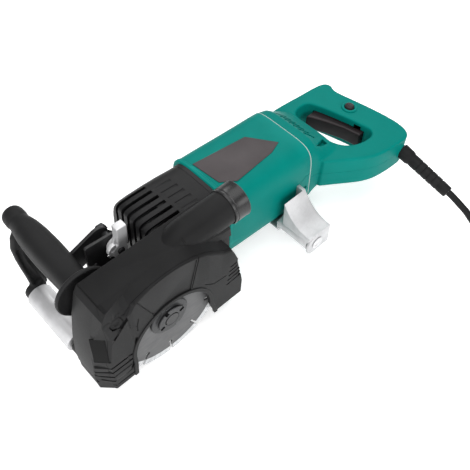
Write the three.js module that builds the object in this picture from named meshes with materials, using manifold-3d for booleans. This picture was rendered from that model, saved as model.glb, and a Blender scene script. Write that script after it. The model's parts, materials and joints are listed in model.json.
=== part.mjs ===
// Twin-disc wall chaser, 150 mm discs. Millimetres, +X forward, +Y to the operator's left, +Z up.
// The guard and the two rollers stand level; the machine hangs on a pivot behind them and is
// tilted nose-up by PITCH at the starting depth. Everything is laid out from the outer disc's
// centre; the outer group then moves the whole to its own origin on the ground.
import * as THREE from "three";
import { mergeVertices } from "three/addons/utils/BufferGeometryUtils.js";
import Module from "manifold-3d";

const wasm = await Module();
wasm.setup();

// ---- driving dimensions -------------------------------------------------------------------
const GAP = 0.3; // clearance between pieces that touch
const DISC_R = 75;
const DISC_T = 2.4;
const DISC_PITCH = 28; // distance between the two discs
const SOLE_Z = -50; // wall plane, under the guard and rollers
const PITCH = THREE.MathUtils.degToRad(3.75);
const GUARD = { front: 93.5, rear: -95, top: 85, right: -41, left: 9.5, wall: 3 };
const MOTOR = { y: -77, z: 19, half: 50, corner: 24, front: -112, rear: -248, wall: 4 };
const ROLLER_R = 15;
const FRONT_ROLLER = { x: 80, z: SOLE_Z + ROLLER_R, y0: -136, y1: -57 };
const REAR_ROLLER = { x: -205, z: SOLE_Z + ROLLER_R, y0: -22.4, y1: 23.5 };
const PIVOT = { x: -232, z: -36, r: 4 };
const CLAMP = { x: 9, z: 58 };
const Y_AXIS = new THREE.Vector3(0, 1, 0);
const DEPTH = { raise: THREE.MathUtils.degToRad(-1.2), plunge: PITCH }; // about the pivot
const GRIP = { x: 61, z: 53, inner: -54, outer: -184 };
const GEAR_MODULE = 1.5;
const SPINDLE_TEETH = 36;
const PINION_TEETH = 26;
const BEVEL_TEETH = 26;
const BEVEL_PINION_TEETH = 8;
const BEVEL_R = 17;
const SPUR_DISTANCE = (GEAR_MODULE * (SPINDLE_TEETH + PINION_TEETH)) / 2;
const JACK = { x: -Math.sqrt(SPUR_DISTANCE ** 2 - MOTOR.z ** 2), z: MOTOR.z };
const HANDLE = { z: MOTOR.z, half: 22, rear: -388 };
const CORD_D = 8.5;
const ORIGIN = { x: -147.2, y: -77.25, z: -DISC_R };

// ---- materials ----------------------------------------------------------------------------
const finish = (color, roughness, metalness = 0) => ({ color, roughness, metalness });
const GREEN = finish(0x008574, 0.5);
const BLACK = finish(0x242426, 0.6);
const TRIGGER = finish(0x3c3437, 0.55);
const LABEL = finish(0x544e50, 0.5);
const SEAM = finish(0xc8cfcc, 0.6);
const STEEL = finish(0xb4b6b8, 0.35, 0.9);
const DISC = finish(0x6f7275, 0.4, 0.8);
const ALUMINIUM = finish(0xcfd0d1, 0.3, 0.9);
const COPPER = finish(0xb46a3c, 0.4, 0.8);
const CARBON = finish(0x1c1c1c, 0.8);
const RUBBER = finish(0x161616, 0.85);

// ---- solids -------------------------------------------------------------------------------
function solidOf(geometry) {
  const bare = new THREE.BufferGeometry();
  bare.setAttribute("position", geometry.getAttribute("position"));
  bare.setIndex(geometry.getIndex());
  const merged = mergeVertices(bare, 1e-4);
  return new wasm.Manifold(
    new wasm.Mesh({
      numProp: 3,
      vertProperties: merged.attributes.position.array,
      triVerts: new Uint32Array(merged.index.array),
    }),
  );
}

function geometryOf(solid) {
  const mesh = solid.getMesh();
  const geometry = new THREE.BufferGeometry();
  geometry.setAttribute("position", new THREE.BufferAttribute(mesh.vertProperties, 3));
  geometry.setIndex(new THREE.BufferAttribute(mesh.triVerts, 1));
  return geometry;
}

const join = (first, ...others) =>
  geometryOf(others.reduce((sum, one) => sum.add(solidOf(one)), solidOf(first)));
const cut = (first, ...others) =>
  geometryOf(others.reduce((sum, one) => sum.subtract(solidOf(one)), solidOf(first)));
const common = (first, second) => geometryOf(solidOf(first).intersect(solidOf(second)));

const outline = (points) => new THREE.Shape(points.map(([x, y]) => new THREE.Vector2(x, y)));

function extrude(shape, depth, curveSegments = 4) {
  return new THREE.ExtrudeGeometry(shape, { depth, bevelEnabled: false, curveSegments });
}

// Extrusions of an outline in X-Z along Y, in Y-Z along X, and in X-Y along Z.
const alongY = (shape, y0, y1) =>
  extrude(shape, y1 - y0)
    .rotateX(Math.PI / 2)
    .translate(0, y1, 0);
const YZ_BASIS = new THREE.Matrix4().makeBasis(
  new THREE.Vector3(0, 1, 0),
  new THREE.Vector3(0, 0, 1),
  new THREE.Vector3(1, 0, 0),
);
const alongX = (shape, x0, x1) => extrude(shape, x1 - x0).applyMatrix4(YZ_BASIS).translate(x0, 0, 0);
const alongZ = (shape, z0, z1) => extrude(shape, z1 - z0).translate(0, 0, z0);

function box(x0, x1, y0, y1, z0, z1) {
  const block = new THREE.BoxGeometry(x1 - x0, y1 - y0, z1 - z0);
  return block.translate((x0 + x1) / 2, (y0 + y1) / 2, (z0 + z1) / 2);
}

function rodY(x, z, r, y0, y1, sides = 24) {
  const rod = new THREE.CylinderGeometry(r, r, y1 - y0, sides);
  return rod.translate(x, (y0 + y1) / 2, z);
}

function rodX(y, z, r, x0, x1, sides = 24) {
  const rod = new THREE.CylinderGeometry(r, r, x1 - x0, sides).rotateZ(-Math.PI / 2);
  return rod.translate((x0 + x1) / 2, y, z);
}

// A turned piece: profile is [radius, place along the axis], rising, closed by the axis or itself.
const turned = (profile, sides = 24) =>
  new THREE.LatheGeometry(profile.map(([r, a]) => new THREE.Vector2(r, a)), sides);
const turnedY = (profile, x, z, sides) => turned(profile, sides).translate(x, 0, z);
const turnedX = (profile, y, z, sides) => turned(profile, sides).rotateZ(-Math.PI / 2).translate(0, y, z);
const ring = (inner, outer, a0, a1) => [
  [inner, a0],
  [outer, a0],
  [outer, a1],
  [inner, a1],
  [inner, a0],
];

function roundedRect(x0, x1, y0, y1, r) {
  const shape = new THREE.Shape();
  shape.moveTo(x0 + r, y0);
  shape.lineTo(x1 - r, y0);
  shape.absarc(x1 - r, y0 + r, r, -Math.PI / 2, 0);
  shape.lineTo(x1, y1 - r);
  shape.absarc(x1 - r, y1 - r, r, 0, Math.PI / 2);
  shape.lineTo(x0 + r, y1);
  shape.absarc(x0 + r, y1 - r, r, Math.PI / 2, Math.PI);
  shape.lineTo(x0, y0 + r);
  shape.absarc(x0 + r, y0 + r, r, Math.PI, 1.5 * Math.PI);
  return shape;
}

// The outline that wraps two circles, for the gear case's lobes.
function lobes(grow) {
  const big = { x: 0, z: 0, r: 32.5 + grow };
  const small = { x: JACK.x, z: JACK.z, r: 25 + grow };
  const toward = Math.atan2(small.z - big.z, small.x - big.x);
  const spread = Math.acos((big.r - small.r) / SPUR_DISTANCE);
  const shape = new THREE.Shape();
  shape.absarc(big.x, big.z, big.r, toward + spread, toward - spread + 2 * Math.PI);
  shape.absarc(small.x, small.z, small.r, toward - spread + 2 * Math.PI, toward + spread + 2 * Math.PI);
  return shape;
}

function circle(r, sides = 24) {
  const points = [];
  for (let i = 0; i < sides; i++) {
    const angle = (2 * Math.PI * i) / sides;
    points.push([r * Math.cos(angle), r * Math.sin(angle)]);
  }
  return outline(points);
}

// A spur gear in X-Z: straight-sided teeth, slimmer than their gaps so that meshed teeth stay clear.
function gearShape(teeth, module, phase, bore) {
  const pitchR = (teeth * module) / 2;
  const step = (2 * Math.PI) / teeth;
  const points = [];
  for (let i = 0; i < teeth; i++) {
    const middle = phase + i * step;
    for (const [r, share] of [
      [pitchR - 1.15 * module, -0.3],
      [pitchR + 0.85 * module, -0.11],
      [pitchR + 0.85 * module, 0.11],
      [pitchR - 1.15 * module, 0.3],
    ]) {
      const angle = middle + share * step;
      points.push([r * Math.cos(angle), r * Math.sin(angle)]);
    }
  }
  const shape = outline(points);
  if (bore) shape.holes.push(circle(bore));
  return shape;
}

// ---- the object ---------------------------------------------------------------------------
const tool = new THREE.Group();
const base = new THREE.Group();
const machine = new THREE.Group();
machine.rotation.y = -PITCH;
tool.add(base, machine);
tool.position.set(-ORIGIN.x, -ORIGIN.y, -ORIGIN.z);
const object = new THREE.Group();
object.add(tool);

function put(group, name, geometry, material) {
  const mesh = new THREE.Mesh(geometry, new THREE.MeshStandardMaterial(material));
  mesh.name = name;
  group.add(mesh);
  return mesh;
}

// ---- guard --------------------------------------------------------------------------------
const GUARD_FACE_R = 85; // the outer half's arched top, concentric with the disc
const GUARD_STEP_Y = -5; // where the arch stands out of the flat-topped half

// Side outlines of the guard, pulled in by inset for the hollow.
function guardBoxOutline(inset) {
  const low = SOLE_Z - (inset ? 5 : 0);
  return outline([
    [GUARD.rear + inset, low],
    [GUARD.front - inset, low],
    [GUARD.front - inset, -18],
    [GUARD.front - 3.5 - inset, 12],
    [GUARD.front - 11 - inset, 48],
    [GUARD.front - 20 - inset, GUARD.top - 8],
    [GUARD.front - 26 - inset, GUARD.top - inset],
    [GUARD.rear + 14 + inset, GUARD.top - inset],
    [GUARD.rear + inset, 62],
  ]);
}

function guardArchOutline(inset) {
  const r = GUARD_FACE_R - inset;
  const low = SOLE_Z - (inset ? 5 : 0);
  const shape = new THREE.Shape();
  shape.moveTo(GUARD.rear - 2 + inset, low);
  shape.lineTo(GUARD.front - inset, low);
  shape.lineTo(GUARD.front - inset, -18);
  shape.lineTo(GUARD.front - 3.5 - inset, 12);
  shape.lineTo(GUARD.front - 12 - inset, 46);
  shape.lineTo(GUARD.front - 24 - inset, GUARD.top - 18 - inset);
  shape.absarc(0, 0, r, THREE.MathUtils.degToRad(48), THREE.MathUtils.degToRad(146), false);
  shape.lineTo(GUARD.rear + 1 + inset, 20);
  shape.lineTo(GUARD.rear - 3.5 + inset, -24);
  return shape;
}

const ARCH = { r: 50, z: -18 }; // the wheel-arch opening in the left face
const coverY = GUARD.left - GUARD.wall;

function archOpening(y0, y1) {
  const shape = new THREE.Shape();
  shape.moveTo(-ARCH.r - 8, SOLE_Z - 10);
  shape.lineTo(ARCH.r + 4, SOLE_Z - 10);
  shape.absarc(0, ARCH.z, ARCH.r, -0.1, Math.PI + 0.1, false);
  return alongY(shape, y0, y1);
}

// What the chamfer takes off the guard's front left corner, moved into the guard by inset.
const cornerCut = (inset) =>
  alongZ(
    outline([
      [GUARD.front + 6, -4],
      [GUARD.front + 6, GUARD.left + 8],
      [GUARD.front - 20, GUARD.left + 8],
      [GUARD.front - 13, GUARD.left + 0.5],
      [GUARD.front + 0.5, -4],
    ]),
    SOLE_Z - 10,
    GUARD.top + 10,
  ).translate(-0.72 * inset, -0.69 * inset, 0);

const spoutTube = { y: -21, z: 75, r: 19, x0: -102, x1: -28 };

function guardHousing() {
  const outer = join(
    alongY(guardBoxOutline(0), GUARD.right, GUARD_STEP_Y + 3),
    alongY(guardArchOutline(0), GUARD_STEP_Y, coverY - GAP),
    rodX(spoutTube.y, spoutTube.z, spoutTube.r, spoutTube.x0, spoutTube.x1, 28),
  );
  const spindleSlot = outline([
    [-14, 14],
    [-14, -24],
    [-8, -30],
    [12, -30],
    [18, -24],
    [18, 14],
    [12, 20],
    [-8, 20],
  ]);
  return cut(
    outer,
    alongY(guardBoxOutline(GUARD.wall), GUARD.right + GUARD.wall, GUARD_STEP_Y - 0.5),
    cut(alongY(guardArchOutline(GUARD.wall), GUARD_STEP_Y - 3, coverY + 2), cornerCut(GUARD.wall + 1)),
    rodX(spoutTube.y, spoutTube.z, spoutTube.r - 2.6, spoutTube.x0 - 2, spoutTube.x1 + 6, 28),
    alongY(spindleSlot, GUARD.right - 2, GUARD.right + GUARD.wall + 2),
    cornerCut(0),
    rodY(GRIP.x, GRIP.z, 4.3, GUARD.right - 2, GUARD.right + GUARD.wall + 2, 16),
  );
}
put(base, "guard_housing", guardHousing(), BLACK);

const guardCover = cut(
  alongY(guardArchOutline(0), coverY, GUARD.left),
  archOpening(coverY - 2, GUARD.left + 2),
  cornerCut(0),
  rodY(GRIP.x, GRIP.z + 2, 4.3, coverY - 2, GUARD.left + 2, 16),
);
put(base, "guard_cover", guardCover, BLACK);

put(
  base,
  "dust_port_collar",
  turnedX(
    [
      [spoutTube.r - 2.6, spoutTube.x0 - 18],
      [spoutTube.r + 1.5, spoutTube.x0 - 18],
      [spoutTube.r + 1.5, spoutTube.x0 + 3],
      [spoutTube.r + GAP, spoutTube.x0 + 3],
      [spoutTube.r + GAP, spoutTube.x0 - GAP],
      [spoutTube.r - 2.6, spoutTube.x0 - GAP],
      [spoutTube.r - 2.6, spoutTube.x0 - 18],
    ],
    spoutTube.y,
    spoutTube.z,
    28,
  ),
  BLACK,
);

put(
  base,
  "guard_cover_bolt",
  join(
    rodY(GRIP.x, GRIP.z + 2, 4, coverY - 12, GUARD.left - 0.5, 12),
    rodY(GRIP.x, GRIP.z + 2, 7.5, GUARD.left + GAP, GUARD.left + 1.2, 6),
    rodY(GRIP.x, GRIP.z + 2, 4, coverY - 1, GUARD.left + 1, 12),
  ),
  BLACK,
);

// ---- base plate and rear bracket ------------------------------------------------------------
const PLATE_T = 2.5;
const plateTop = SOLE_Z + PLATE_T;
const motorLeft = MOTOR.y + MOTOR.half;
const motorRight = MOTOR.y - MOTOR.half;
const EAR_T = 3.7;

// A pivot ear in X-Z: stands on the wall plane and rounds over the pivot pin.
function earShape(front) {
  return outline([
    [PIVOT.x - 10, SOLE_Z],
    [front, SOLE_Z],
    [front, PIVOT.z + 3],
    [PIVOT.x + 7, PIVOT.z + 9],
    [PIVOT.x - 5, PIVOT.z + 9],
    [PIVOT.x - 10, PIVOT.z + 3],
  ]);
}

const basePlate = cut(
  join(
    box(-228, -44, -126, -46.3, SOLE_Z, plateTop),
    box(-95, -44, -47, -41.3, SOLE_Z, plateTop),
    box(-95, -62, -43.6, -41.3, SOLE_Z, -22),
    box(PIVOT.x - 10, -208, motorRight - GAP - EAR_T, -118, SOLE_Z, plateTop),
    alongY(earShape(-212), motorRight - GAP - EAR_T, motorRight - GAP),
  ),
  rodY(PIVOT.x, PIVOT.z, PIVOT.r + GAP, motorRight - 8, motorRight + 2, 16),
  rodY(-88, -32, 2.8, -46, -40, 10),
  rodY(-70, -32, 2.8, -46, -40, 10),
);
put(base, "base_plate", basePlate, STEEL);

[-88, -70].forEach((x, index) => {
  const shank = rodY(x, -32, 2.5, -44, -41.3, 10);
  put(base, `base_plate_screw_${index + 1}`, shank, STEEL);
});

const cheekY = REAR_ROLLER.y1 + 1;
const rearBracket = cut(
  join(
    alongY(
      outline([
        [-189, -36],
        [-191, -46],
        [-196, SOLE_Z],
        [-226.5, SOLE_Z],
        [-226.5, -19],
        [-200, -19],
        [-193, -25],
      ]),
      cheekY,
      cheekY + 3.5,
    ),
    alongX(
      outline([
        [cheekY + 3.5, SOLE_Z],
        [cheekY + 3.5, -19],
        [10, -18],
        [-2, -12],
        [-10, -4],
        [-17, 8],
        [motorLeft + GAP, 8],
        [motorLeft + GAP, SOLE_Z],
      ]),
      -226.5,
      -222,
    ),
    alongY(earShape(-192), motorLeft + GAP, motorLeft + GAP + EAR_T),
    box(PIVOT.x - 10, -192, -46, motorLeft + 2, SOLE_Z, plateTop),
  ),
  rodY(REAR_ROLLER.x, REAR_ROLLER.z, 5.3, -30, cheekY + 6, 16),
  rodY(PIVOT.x, PIVOT.z, PIVOT.r + GAP, -30, -20, 16),
);
put(base, "rear_roller_bracket", rearBracket, ALUMINIUM);

// Pivot pins: a head outside the ear and a plain shank inside the machine's lug.
const pinLeft = [
  [0, motorLeft - 11],
  [PIVOT.r, motorLeft - 11],
  [PIVOT.r, motorLeft + EAR_T + 2 * GAP],
  [5, motorLeft + EAR_T + 2 * GAP],
  [5, motorLeft + EAR_T + 3.5],
  [0, motorLeft + EAR_T + 3.5],
];
const mirrored = (profile) => profile.map(([r, y]) => [r, 2 * MOTOR.y - y]).reverse();
put(base, "pivot_pin_left", turnedY(pinLeft, PIVOT.x, PIVOT.z, 16), STEEL);
put(base, "pivot_pin_right", turnedY(mirrored(pinLeft), PIVOT.x, PIVOT.z, 16), STEEL);

// ---- rollers --------------------------------------------------------------------------------
const rollerProfile = ({ y0, y1 }) => [
  [5.4, y0],
  [ROLLER_R - 1, y0],
  [ROLLER_R, y0 + 1],
  [ROLLER_R, y1 - 1],
  [ROLLER_R - 1, y1],
  [5.4, y1],
  [5.4, y0],
];
const rearRoller = turnedY(rollerProfile(REAR_ROLLER), REAR_ROLLER.x, REAR_ROLLER.z, 32);
put(base, "rear_roller", rearRoller, ALUMINIUM);
const frontRoller = turnedY(rollerProfile(FRONT_ROLLER), FRONT_ROLLER.x, FRONT_ROLLER.z, 32);
put(base, "front_roller", frontRoller, ALUMINIUM);
put(
  base,
  "rear_roller_axle",
  turnedY(
    [
      [0, -27 + GAP],
      [5, -27 + GAP],
      [5, cheekY + 3.5 + GAP],
      [8, cheekY + 3.5 + GAP],
      [8, cheekY + 5],
      [0, cheekY + 5],
    ],
    REAR_ROLLER.x,
    REAR_ROLLER.z,
    20,
  ),
  ALUMINIUM,
);

const lugFront = { y0: -54.6, y1: GUARD.right - GAP };
const frontRollerBracket = cut(
  join(
    rodY(FRONT_ROLLER.x, FRONT_ROLLER.z, 12, lugFront.y0, lugFront.y1, 24),
    box(58, FRONT_ROLLER.x, lugFront.y0 + 8, lugFront.y1, -47, -22),
  ),
  rodY(FRONT_ROLLER.x, FRONT_ROLLER.z, 5.3, lugFront.y0 - 2, lugFront.y1 + 2, 16),
);
put(base, "front_roller_bracket", frontRollerBracket, BLACK);
put(base, "front_roller_axle", rodY(FRONT_ROLLER.x, FRONT_ROLLER.z, 5, -151, lugFront.y1 - 1, 20), STEEL);

// ---- front handle -----------------------------------------------------------------------------
const gripProfile = [
  [4.6, GRIP.outer + 14],
  [4.6, GRIP.inner],
  [17, GRIP.inner],
  [17, -62],
  [17.8, -84],
  [18.6, -112],
  [18.2, -136],
  [16.2, -154],
  [14, -162],
  [15.4, -167],
  [15, -174],
  [12.6, GRIP.outer + 1.5],
  [11, GRIP.outer],
  [4.6, GRIP.outer],
  [4.6, GRIP.outer + 14],
].reverse();
const strutPath = new THREE.CatmullRomCurve3(
  [
    [66, -158, 44],
    [78, -157, 26],
    [84, -152, 2],
    [82, -146, -20],
    [80, -144, -32],
  ].map(([x, y, z]) => new THREE.Vector3(x, y, z)),
);
const strut = new THREE.ExtrudeGeometry(roundedRect(-5, 5, -4.5, 4.5, 2), {
  steps: 8,
  extrudePath: strutPath,
  curveSegments: 2,
});
const frontHandle = cut(
  join(
    turnedY(gripProfile, GRIP.x, GRIP.z, 28),
    strut,
    rodY(FRONT_ROLLER.x, FRONT_ROLLER.z, 12, -148, FRONT_ROLLER.y0 - 1.2, 24),
  ),
  rodY(FRONT_ROLLER.x, FRONT_ROLLER.z, 5.3, -152, -130, 16),
);
put(base, "front_handle", frontHandle, BLACK);
put(base, "hand_guard_disc", turnedY(ring(4.6, 30, -52.5, -48.5), GRIP.x, GRIP.z, 32), BLACK);

const guardToHandleBolt = [
  [0, GRIP.outer + 3],
  [4, GRIP.outer + 3],
  [4, GUARD.right + GUARD.wall + GAP],
  [7.5, GUARD.right + GUARD.wall + GAP],
  [7.5, GUARD.right + GUARD.wall + 6],
  [0, GUARD.right + GUARD.wall + 6],
];
put(base, "handle_bolt", turnedY(guardToHandleBolt, GRIP.x, GRIP.z, 12), STEEL);

// ---- depth quadrant: fixed plate with the slot that the clamp bolt travels in --------------
const QUADRANT = { y0: -77, y1: -73.5 };
const quadrantShape = outline([
  [-4, -20],
  [40, -20],
  [38, 60],
  [34, 72],
  [27, 75.5],
  [2, 69],
  [-4, 64],
]);

// A round-ended slot in X-Z between two points.
function slotBetween([ax, az], [bx, bz], r) {
  const along = Math.atan2(bz - az, bx - ax);
  const shape = new THREE.Shape();
  shape.absarc(bx, bz, r, along - Math.PI / 2, along + Math.PI / 2);
  shape.absarc(ax, az, r, along + Math.PI / 2, along + 1.5 * Math.PI);
  return shape;
}

// Where the clamp bolt stands, in the guard's frame, once the machine has turned by angle.
function clampAt(angle) {
  const start = new THREE.Vector3(CLAMP.x, 0, CLAMP.z).applyAxisAngle(Y_AXIS, -PITCH);
  const pivot = new THREE.Vector3(PIVOT.x, 0, PIVOT.z);
  const place = start.sub(pivot).applyAxisAngle(Y_AXIS, angle).add(pivot);
  return [place.x, place.z];
}
const quadrantSlot = slotBetween(clampAt(DEPTH.raise), clampAt(DEPTH.plunge), 5);
const quadrant = join(
  cut(
    alongY(quadrantShape, QUADRANT.y0, QUADRANT.y1),
    alongY(quadrantSlot, QUADRANT.y0 - 2, QUADRANT.y1 + 2),
  ),
  box(24, 27.5, QUADRANT.y1 - 1, GUARD.right - GAP, 37, 54),
);
put(base, "depth_quadrant", quadrant, BLACK);

// ---- drive train, along the spindle and the motor axis -------------------------------------
const CASE = { left: -45, right: -72, wall: 3 };
const GEAR_Y = { y0: -61, y1: -51 };

const spindle = turnedY(
  [
    [0, -71],
    [6, -71],
    [6, -63],
    [8, -63],
    [8, 8.2],
    [0, 8.2],
  ],
  0,
  0,
  24,
);
put(machine, "spindle", spindle, STEEL);

const spurGear = (teeth, phase, bore, x, z) =>
  alongY(gearShape(teeth, GEAR_MODULE, phase, bore), GEAR_Y.y0, GEAR_Y.y1).translate(x, 0, z);
const meshAngle = Math.atan2(JACK.z, JACK.x);
put(machine, "spindle_gear", spurGear(SPINDLE_TEETH, meshAngle, 8 + 2 * GAP, 0, 0), STEEL);

const hub = [
  [8 + GAP, -50],
  [12, -50],
  [12, -33.6],
  [22, -33.6],
  [22, -29.6],
  [8 + GAP, -29.6],
  [8 + GAP, -50],
];
put(machine, "inner_flange", turnedY(hub, 0, 0, 28), STEEL);
put(machine, "disc_spacer", turnedY(ring(8 + GAP, 14, -28 + 1.5, -1.5), 0, 0, 24), STEEL);

function discShape() {
  const shape = new THREE.Shape();
  const slots = 11;
  const step = (2 * Math.PI) / slots;
  for (let i = 0; i < slots; i++) {
    const start = -Math.PI / 2 - PITCH + (i - 0.5) * step;
    const half = 1.3 / DISC_R;
    shape.absarc(0, 0, DISC_R, start + half, start + step - half);
    const inner = DISC_R - 18;
    const end = start + step;
    shape.lineTo(inner * Math.cos(end - 1.3 / inner), inner * Math.sin(end - 1.3 / inner));
    shape.lineTo(inner * Math.cos(end + 1.3 / inner), inner * Math.sin(end + 1.3 / inner));
  }
  shape.holes.push(circle(8 + 2 * GAP));
  return shape;
}
for (const [name, y] of [
  ["disc_outer", 0],
  ["disc_inner", -DISC_PITCH],
]) {
  const disc = extrude(discShape(), DISC_T, 2).rotateX(Math.PI / 2);
  put(machine, name, disc.translate(0, y + DISC_T / 2, 0), DISC);
}
const nut = [
  [8 + GAP, 1.5],
  [24, 1.5],
  [24, 4],
  [17, 5.5],
  [17, 8],
  [8 + GAP, 8],
  [8 + GAP, 1.5],
];
put(machine, "clamp_nut", turnedY(nut, 0, 0, 28), STEEL);

// Countershaft: spur pinion towards the discs, bevel wheel towards the motor.
const jackShaft = turnedY(
  [
    [0, -104],
    [4.5, -104],
    [4.5, -49],
    [0, -49],
  ],
  JACK.x,
  JACK.z,
  16,
);
put(machine, "countershaft", jackShaft, STEEL);
const pinionPhase = meshAngle + Math.PI + Math.PI / PINION_TEETH;
put(machine, "spur_pinion", spurGear(PINION_TEETH, pinionPhase, 4.5 + 2 * GAP, JACK.x, JACK.z), STEEL);

// Bevel pair: apex where the motor axis crosses the countershaft.
const BEVEL_PINION_R = (BEVEL_R * BEVEL_PINION_TEETH) / BEVEL_TEETH;
const bevelModule = (2 * BEVEL_R) / BEVEL_TEETH;
const bevelSmall = 0.66; // inner end of the teeth, as a share of the distance from the apex

function bevelWheel() {
  const tipY = MOTOR.y + BEVEL_PINION_R - 0.45 * bevelModule;
  const rootY = MOTOR.y + BEVEL_PINION_R + 1.65 * bevelModule;
  const lean = BEVEL_PINION_R * (1 - bevelSmall);
  const blank = turned(
    [
      [4.5 + GAP, rootY - lean],
      [BEVEL_R * bevelSmall - 1, rootY - lean],
      [BEVEL_R + 0.5, rootY],
      [BEVEL_R + 0.5, rootY + 4],
      [9, rootY + 8],
      [4.5 + GAP, rootY + 8],
      [4.5 + GAP, rootY - lean],
    ],
    26,
  );
  const teeth = [];
  for (let i = 0; i < BEVEL_TEETH; i++) {
    const tooth = new THREE.BoxGeometry(BEVEL_R * (1 - bevelSmall), rootY - tipY + 2, 1.3);
    const middle = (BEVEL_R * (1 + bevelSmall)) / 2;
    const leanAngle = Math.atan2(BEVEL_PINION_R, BEVEL_R);
    tooth.rotateZ(leanAngle);
    tooth.translate(middle, (rootY + tipY) / 2 - lean / 2 + 0.8, 0);
    teeth.push(tooth.rotateY(Math.PI + (i + 0.5) * ((2 * Math.PI) / BEVEL_TEETH)));
  }
  return join(blank, ...teeth).translate(JACK.x, 0, JACK.z);
}
put(machine, "bevel_wheel", bevelWheel(), STEEL);

const BEARING_FRONT = { x0: -82, x1: -74 };
const BEARING_REAR = { x0: -238, x1: -230 };

function armatureShaft() {
  const large = JACK.x - BEVEL_R;
  const small = JACK.x - BEVEL_R * bevelSmall;
  const star = gearShape(BEVEL_PINION_TEETH, 0.74 * bevelModule, Math.PI / 2, 0);
  const pinion = alongX(star, 0, small - large);
  const place = pinion.getAttribute("position");
  for (let i = 0; i < place.count; i++) {
    const share = THREE.MathUtils.lerp(1, bevelSmall, place.getX(i) / (small - large));
    place.setXYZ(i, place.getX(i), place.getY(i) * share, place.getZ(i) * share);
  }
  pinion.translate(large, MOTOR.y, MOTOR.z);
  return join(rodX(MOTOR.y, MOTOR.z, 4.5, BEARING_REAR.x0, large + 0.5, 16), pinion);
}
put(machine, "armature_shaft", armatureShaft(), STEEL);
const onShaft = (profile, sides) => turnedX(profile, MOTOR.y, MOTOR.z, sides);
put(machine, "armature_core", onShaft(ring(4.5 + GAP, 24, -188, -132), 24), STEEL);
put(machine, "commutator", onShaft(ring(4.5 + GAP, 14, -218, -202), 24), COPPER);

function coolingFan() {
  const blades = [];
  for (let i = 0; i < 9; i++) {
    const blade = box(-126, -117, -0.9, 0.9, 12, 37);
    blades.push(blade.rotateX((i * 2 * Math.PI) / 9));
  }
  return join(
    turned(ring(4.5 + GAP, 13, -126, -114), 24).rotateZ(-Math.PI / 2),
    turned(ring(12, 37, -117.5, -115.5), 24).rotateZ(-Math.PI / 2),
    ...blades,
  ).translate(0, MOTOR.y, MOTOR.z);
}
put(machine, "cooling_fan", coolingFan(), BLACK);

for (const [name, { x0, x1 }] of [
  ["motor_bearing_front", BEARING_FRONT],
  ["motor_bearing_rear", BEARING_REAR],
]) {
  put(machine, name, onShaft(ring(4.5 + GAP, 12, x0 + 0.5, x1), 20), STEEL);
}
put(machine, "stator", onShaft(ring(26, 42, -190, -130), 24), COPPER);

// ---- gear case --------------------------------------------------------------------------------
const chamber = { x0: JACK.x - 22, x1: JACK.x + 19.2, z0: JACK.z - 21, z1: JACK.z + 21 };
function gearCase() {
  return cut(
    join(
      alongY(lobes(0), CASE.right, CASE.left - CASE.wall - GAP),
      box(chamber.x0, chamber.x1, -108, CASE.right + 1, chamber.z0, chamber.z1),
      rodX(MOTOR.y, MOTOR.z, 15.5, BEARING_FRONT.x0, chamber.x0 + 1, 24),
    ),
    alongY(lobes(-CASE.wall), GEAR_Y.y0 - 2, CASE.left),
    rodY(0, 0, 11, -71.4, GEAR_Y.y0 - 1, 20),
    rodY(JACK.x, JACK.z, 18.8, CASE.right - 1, GEAR_Y.y0 - 1, 24),
    box(chamber.x0 + 3, chamber.x1 - 1.2, -105, CASE.right + 1, chamber.z0 + 3, chamber.z1 - 3),
    rodX(MOTOR.y, MOTOR.z, 12.3, BEARING_FRONT.x0 - 2, BEARING_FRONT.x1 + 0.3, 20),
    rodX(MOTOR.y, MOTOR.z, 7, BEARING_FRONT.x0 - 2, chamber.x0 + 5, 16),
  );
}
put(machine, "gear_case", gearCase(), ALUMINIUM);
const caseCover = cut(
  alongY(lobes(0), CASE.left - CASE.wall, CASE.left),
  rodY(0, 0, 12.4, CASE.left - 6, CASE.left + 2, 24),
);
put(machine, "gear_case_cover", caseCover, ALUMINIUM);
put(machine, "spindle_bearing", turnedY(ring(6 + GAP, 10.7, -71, -64), 0, 0, 20), STEEL);

// ---- vent cover -------------------------------------------------------------------------------
const VENT = { front: -20, right: -122, left: -44.3, low: -28, top: 68 };
function ventCover() {
  const outer = roundedRect(VENT.right, VENT.left + 12, VENT.low, VENT.top, 22);
  const inner = roundedRect(VENT.right + 3, VENT.left + 9, VENT.low + 3, VENT.top - 3, 19);
  const hollow = alongX(inner, MOTOR.front - 2, VENT.front - 3);
  const leftSide = box(MOTOR.front + 13, 0, VENT.left, 0, -60, 90);
  const slots = [];
  for (let i = 0; i < 6; i++) {
    const y = -110 + i * 10.5;
    slots.push(box(-62, VENT.front + 2, y, y + 4.5, 44, VENT.top + 4));
  }
  const shell = cut(
    alongX(outer, MOTOR.front + GAP, VENT.front),
    hollow,
    leftSide,
    alongY(lobes(0.6), -76, -30),
    ...slots,
  );
  return shell;
}
put(machine, "vent_cover", ventCover(), BLACK);

// ---- motor housing ------------------------------------------------------------------------------
const motorSection = (inset) =>
  roundedRect(
    motorRight + inset,
    motorLeft - inset,
    MOTOR.z - MOTOR.half + inset,
    MOTOR.z + MOTOR.half - inset,
    MOTOR.corner - inset,
  );

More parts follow.
